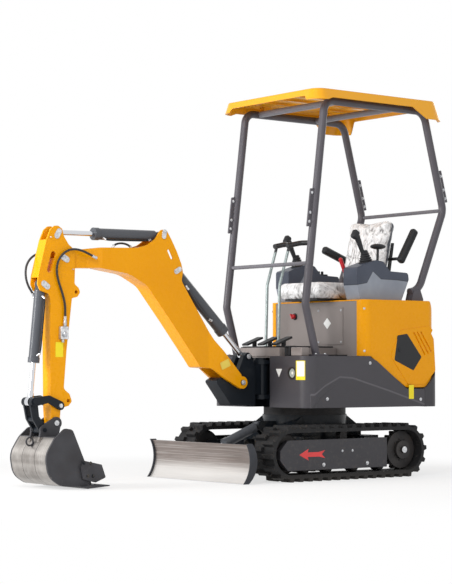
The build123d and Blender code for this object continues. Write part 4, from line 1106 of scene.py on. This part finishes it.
def pinTrim():
    reach = pins["boltReach"]
    for body, keepers in pins["keepers"].items():
        spots = []
        for (x, z), lean in keepers:
            turn = math.radians(lean)
            spots.append(sideSpot(body + "_pins", x + reach * math.cos(turn), z + reach * math.sin(turn)))
        boltRow(body + "KeeperBolts", body, spots, pins["boltSize"])
    caps = []
    for x, z in pins["bracketPins"]:
        for side in (1, -1):
            spot = sideSpot("swing_bracket", x, z, side)
            caps.extend([addDisc(*pins["cap"], *spot), addDisc(*pins["capNut"], *spot)])
    finishPiece(caps, "bracketPinCaps", "swing", "zinc")
    boltRow("armNipples", "arm", [sideSpot("arm", x, z) for x, z in pins["nipples"]], kind="nipple")


blankPlates = {  # place, width, height, turn and finish
    "arm": ((1.838, 0.772), 0.052, 0.084, 0.0, "plainYellow"),
    "boom": ((0.69, 0.69), 0.07, 0.046, math.radians(22), "paleYellow"),
}


def sidePlates():
    for node, (place, width, height, turn, tone) in blankPlates.items():
        plate = addPlate(*sideSpot(node, *place), width, height, spin=turn)
        finishPiece(plate, node + "Plate", node, "yellow_paint", tone)


valve = {
    "x": 1.818, "z": 0.866, "low": (-0.026, 0, -0.036), "high": (0.026, 0.026, 0.036), "edge": 0.004,
    "rim": 0.008, "sunk": -0.002, "union": (0.0105, 0.03, 6, 0.0015), "unionX": -0.008,
    "plug": (0.013, 0.012, 20, 0.003), "plugSunk": 0.002, "plugZ": -0.008,
    "foot": (0.009, 0.018, 6, 0.0015), "footX": 0.006,
}


def armValve():
    # The block at the end of the side hose: a body, a top union, a round plug and a foot union.
    place = sideSpot("arm", valve["x"], valve["z"])[0]
    low, high = place + Vector(valve["low"]), place + Vector(valve["high"])
    x, y, z = (low + high) / 2
    block = insetFaces(addBlock(low, high, valve["edge"]), (0, 1, 0), valve["rim"], valve["sunk"])
    union = addDisc(*valve["union"], (x + valve["unionX"], y, high.z))
    plug = addDisc(*valve["plug"], (x, high.y - valve["plugSunk"], z + valve["plugZ"]), (0, 1, 0))
    foot = addDisc(*valve["foot"], (x + valve["footX"], y, low.z), (0, 0, -1))
    finishPiece([block, union, plug, foot], "armValve", "arm", "zinc")


pinTrim()
sidePlates()
armValve()
print("boom and arm trim made")


# Hoses and pipes

hoses = {  # a hose over a joint lists two bend places; its tube is left on no body, its ends on the two bodies
    "armSideHose": {
        "bodies": ("boom", "arm"), "radius": 0.0065, "bend": ((1.66, 0.052, 1.30), (1.80, 0.052, 1.30)),
        "points": [
            (1.608, 0.064, 1.293), (1.640, 0.064, 1.306), (1.680, 0.062, 1.324), (1.730, 0.058, 1.338),
            (1.780, 0.056, 1.336), (1.828, 0.056, 1.310), (1.862, 0.055, 1.262), (1.868, 0.054, 1.205),
            (1.853, 0.053, 1.150), (1.828, 0.053, 1.090), (1.810, 0.053, 1.030), (1.808, 0.053, 0.975),
            (1.810, 0.053, 0.930)]},
    "armFrontHose": {
        "bodies": ("arm", "bucket_tube"), "radius": 0.0065,
        "bend": ((1.99, -0.04, 1.24), (1.97, -0.04, 1.10)),
        "points": [
            (1.862, -0.053, 1.318), (1.895, -0.053, 1.318), (1.934, -0.053, 1.308), (1.972, -0.052, 1.284),
            (1.999, -0.050, 1.248), (2.008, -0.048, 1.205), (2.004, -0.046, 1.160), (1.988, -0.044, 1.120),
            (1.966, -0.042, 1.090), (1.952, -0.042, 1.062)]},
    "boomTopHose": {
        "bodies": ("boom",), "radius": 0.006,
        "points": [
            (1.462, 0.012, 1.352), (1.456, 0.012, 1.366), (1.440, 0.012, 1.380), (1.412, 0.012, 1.387),
            (1.380, 0.012, 1.387), (1.352, 0.012, 1.380), (1.334, 0.012, 1.368), (1.326, 0.012, 1.354)]},
    "boomCylinderHose": {
        "bodies": ("boom_tube",), "radius": 0.006,
        "points": [
            (0.955, 0.042, 1.150), (0.935, 0.046, 1.124), (0.915, 0.047, 1.094), (0.890, 0.046, 1.062),
            (0.862, 0.046, 1.030), (0.832, 0.046, 0.998), (0.803, 0.045, 0.972), (0.779, 0.042, 0.955),
            (0.762, 0.036, 0.950)]},
}

pipes = {
    "bucketTubePipe": {
        "body": "bucket_tube", "radius": 0.0048,
        "points": [
            (1.944, 0.030, 1.068), (1.940, 0.043, 1.060), (1.939, 0.045, 1.03), (1.944, 0.044, 0.98),
            (1.951, 0.044, 0.90), (1.959, 0.044, 0.82), (1.964, 0.043, 0.77), (1.970, 0.040, 0.745),
            (1.977, 0.028, 0.738)]},
    "armTubePipe": {
        "body": "arm_tube", "radius": 0.0048,
        "points": [
            (1.530, 0.020, 1.414), (1.524, 0.030, 1.404), (1.500, 0.034, 1.400), (1.430, 0.034, 1.402),
            (1.350, 0.034, 1.404), (1.270, 0.034, 1.406), (1.222, 0.034, 1.408), (1.202, 0.024, 1.414)]},
}

hoseFitting = {  # in the hose's radii
    "nut": 1.55, "nutLength": 1.7, "nutBack": 0.6, "sleeve": 1.28, "sleeveLength": 3.4, "sleeveStart": 1.1,
    "edge": 0.2,
}


def drawLine(name, points, radius):
    data = bpy.data.curves.new(name, "CURVE")
    data.dimensions = "3D"
    spline = data.splines.new("NURBS")
    spline.points.add(len(points) - 1)
    for point, place in zip(spline.points, points):
        point.co = (*at(*place), 1)
    spline.order_u = 3
    spline.use_endpoint_u = True
    spline.resolution_u = 8
    data.bevel_depth = radius
    data.bevel_resolution = 3
    data.use_fill_caps = True
    line = bpy.data.objects.new(name, data)
    bpy.context.scene.collection.objects.link(line)
    return line


def linePoints(line):
    # The smooth line's own points, read while it has no thickness.
    depth = line.data.bevel_depth
    line.data.bevel_depth = 0
    bpy.context.view_layer.update()
    mesh = bpy.data.meshes.new_from_object(line.evaluated_get(bpy.context.evaluated_depsgraph_get()))
    points = [vertex.co.copy() for vertex in mesh.vertices]
    bpy.data.meshes.remove(mesh)
    line.data.bevel_depth = depth
    bpy.context.view_layer.update()
    return points


def solidLine(name, settings):
    # The line as a mesh tube, and the points that it follows.
    line = drawLine(name, settings["points"], settings["radius"])
    path = linePoints(line)
    pick(line)
    bpy.ops.object.convert(target="MESH")
    return bpy.context.object, path


def hoseEnd(place, along, radius):
    # A crimped sleeve and a hex nut, from the hose's end inwards.
    along = Vector(along).normalized()
    size = {key: value * radius for key, value in hoseFitting.items()}
    nut = addDisc(size["nut"], size["nutLength"], 6, size["edge"], place - along * size["nutBack"], along)
    start = place + along * size["sleeveStart"]
    return [nut, addDisc(size["sleeve"], size["sleeveLength"], 20, size["edge"], start, along)]


def makeHose(name, settings):
    piece, path = solidLine(name, settings)
    length = sum((after - before).length for before, after in zip(path, path[1:]))
    print(name, "is", round(length, 4), "m long")
    bodies, bend = settings["bodies"], settings.get("bend")
    finishPiece(piece, name, None if bend else bodies[0], "black_plastic", "hoseRubber", 60)
    if bend:
        at(*bend[0])
        at(*bend[1])
        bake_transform(piece)
    for number, body, place, along in (
            ("1", bodies[0], path[0], path[1] - path[0]), ("2", bodies[-1], path[-1], path[-2] - path[-1])):
        finishPiece(hoseEnd(place, along, settings["radius"]), name + "End" + number, body, "zinc")


def makePipe(name, settings):
    # A bent steel line with a union at each end.
    piece, path = solidLine(name, settings)
    radius, body = settings["radius"], settings["body"]
    finishPiece(piece, name, body, "black_paint", None, 60)
    unions = hoseEnd(path[0], path[2] - path[0], radius) + hoseEnd(path[-1], path[-3] - path[-1], radius)
    finishPiece(unions, name + "Unions", body, "zinc")


for hoseName, hoseSettings in hoses.items():
    makeHose(hoseName, hoseSettings)
for pipeName, pipeSettings in pipes.items():
    makePipe(pipeName, pipeSettings)
print("hoses and pipes made")


# Seat: cushion and back under clear film

seatShell = {"middle": (-0.540, 0, 1.416), "lean": math.radians(12), "face": -0.004}


def filmFinish(name, shelled):
    # Clear film over grey vinyl: darker grey along the folds, painted highlights on the crisp creases, and
    # upward faces painted lighter.
    finish = Finish(name)
    folds = finish.grain(1, 6, 0.6, finish.stretched(9, 12, 8), 3.2)
    fine = finish.grain(1, 5, 0.65, finish.stretched(34, 44, 30), 1.6)
    paintedHighlights = (folds * 0.65 + fine * 0.35).above(0.545, 0.05)
    tone = finish.blend(folds.above(0.42, 0.1), seen(120, 117, 116), seen(222, 221, 221))
    # painted light: faces turned upwards are lightened
    tone = finish.blend(finish.facing("Z").above(0.35, 0.3) * 0.5, tone, seen(236, 236, 237))
    # painted highlights: the crisp creases are lightened almost to white
    tone = finish.blend(paintedHighlights * 0.85, tone, seen(250, 250, 251))
    rough = folds * 0.2 + 0.14
    if shelled:
        # The rear half of the back is its slate shell.
        middle, lean = at(*seatShell["middle"]), seatShell["lean"]
        forward = (finish.axis("X") - middle.x) * math.cos(lean)
        depth = forward + (finish.axis("Z") - middle.z) * math.sin(lean)
        shell = depth.below(seatShell["face"], 0.002)
        slate = finish.blend(fine.above(0.62, 0.08) * 0.35, seen(58, 62, 72), seen(150, 152, 158))
        tone = finish.blend(shell, tone, slate)
        rough = rough + shell * 0.2
    return finish.surface(
        folds * 0.6 + fine * 0.5, 0.7, 0.008, colour=tone, rough=rough, gloss=0.5, coat=0.25,
        coatRough=0.05)


pad = {
    "pieces": {"seatCushion": "seat_cushion", "seatBack": "seat_back"},
    "shrink": 0.93, "weld": 0.0002, "voxel": 0.009, "pressure": 3.2, "quality": 4, "steps": 16,
    "cap": 0.02, "fill": 0.8,
}


def swell(piece):
    # Cloth pressure rounds the pad, and no point moves further than the cap.
    rest = [vertex.co.copy() for vertex in piece.data.vertices]
    cloth = piece.modifiers.new("swell", "CLOTH")
    cloth.settings.use_pressure = True
    cloth.settings.uniform_pressure_force = pad["pressure"]
    cloth.settings.effector_weights.gravity = 0
    cloth.settings.quality = pad["quality"]
    cloth.point_cache.frame_start = 1
    cloth.point_cache.frame_end = pad["steps"]
    for step in range(1, pad["steps"] + 1):
        bpy.context.scene.frame_set(step)
    pick(piece)
    bpy.ops.object.modifier_apply(modifier=cloth.name)
    bpy.context.scene.frame_set(1)
    for vertex, start in zip(piece.data.vertices, rest):
        move = vertex.co - start
        if move.length > pad["cap"]:
            vertex.co = start + move.normalized() * pad["cap"]


def paddedBlock(name, node, film):
    # The pad starts from its CAD solid, a little smaller, and swells back inside its box.
    source = frame["nodes"][node]
    piece = source.copy()
    piece.data = source.data.copy()
    piece.name = name
    piece.parent = None
    piece.matrix_world = source.matrix_world.copy()
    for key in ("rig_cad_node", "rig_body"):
        if key in piece:
            del piece[key]
    bpy.context.scene.collection.objects.link(piece)
    low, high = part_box(node)
    middle = (low + high) / 2
    for vertex in piece.data.vertices:
        vertex.co = middle + (vertex.co - middle) * pad["shrink"]
    modify(piece, "WELD", merge_threshold=pad["weld"])
    modify(piece, "REMESH", mode="VOXEL", voxel_size=pad["voxel"])
    swell(piece)
    for vertex in piece.data.vertices:
        vertex.co = [min(max(value, least), most) for value, least, most in zip(vertex.co, low, high)]
    modify(piece, "SUBSURF", levels=1, render_levels=1)
    coat(piece, film)
    pick(piece)
    bpy.ops.object.shade_smooth()
    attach(piece, "upper")
    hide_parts(node)


for padName, padNode in pad["pieces"].items():
    paddedBlock(padName, padNode, filmFinish(padName + "Film", padName == "seatBack"))
print("seat pads swollen")

for master in masters.values():
    bpy.data.objects.remove(master)


# Stage

def makeFloor():
    # White paper: near the machine it is a plain floor that takes the shadow, further out it glows.
    floor = fresh(bpy.ops.mesh.primitive_plane_add, size=view["floorSize"], location=(0, 0, 0))
    floor.name = "floor"
    finish = Finish("floorPaper")
    finish.set(colour=view["floorTone"], rough=0.9, gloss=0.1)
    near, outer = view["shadowReach"]
    reach = finish.away((0, 0, 0)).above((near + outer) / 2, (outer - near) / 2)
    paper = finish.paperRays() * (reach * (1 - view["floorGlow"]) + view["floorGlow"])
    glow = finish.node("ShaderNodeEmission", None, {"Color": (1, 1, 1), "Strength": 1.0})
    surface = finish.node("ShaderNodeMixShader", None, {
        0: paper, 1: Wire(finish, finish.shader.outputs[0]), 2: glow})
    finish.plug(finish.tree.nodes["Material Output"].inputs["Surface"], surface)
    coat(floor, finish.material)


def setWorld():
    world = bpy.data.worlds.new("studio")
    bpy.context.scene.world = world
    world.use_nodes = True
    sky = Nodes(world.node_tree)
    background = sky.tree.nodes["Background"]
    background.inputs["Color"].default_value = (1, 1, 1, 1)
    sky.plug(background.inputs["Strength"], sky.paperRays() * (1 - view["skyLight"]) + view["skyLight"])


setCamera()
setLights()
makeFloor()
setWorld()
bpy.context.scene.view_settings.view_transform = "Standard"
print("stage set")
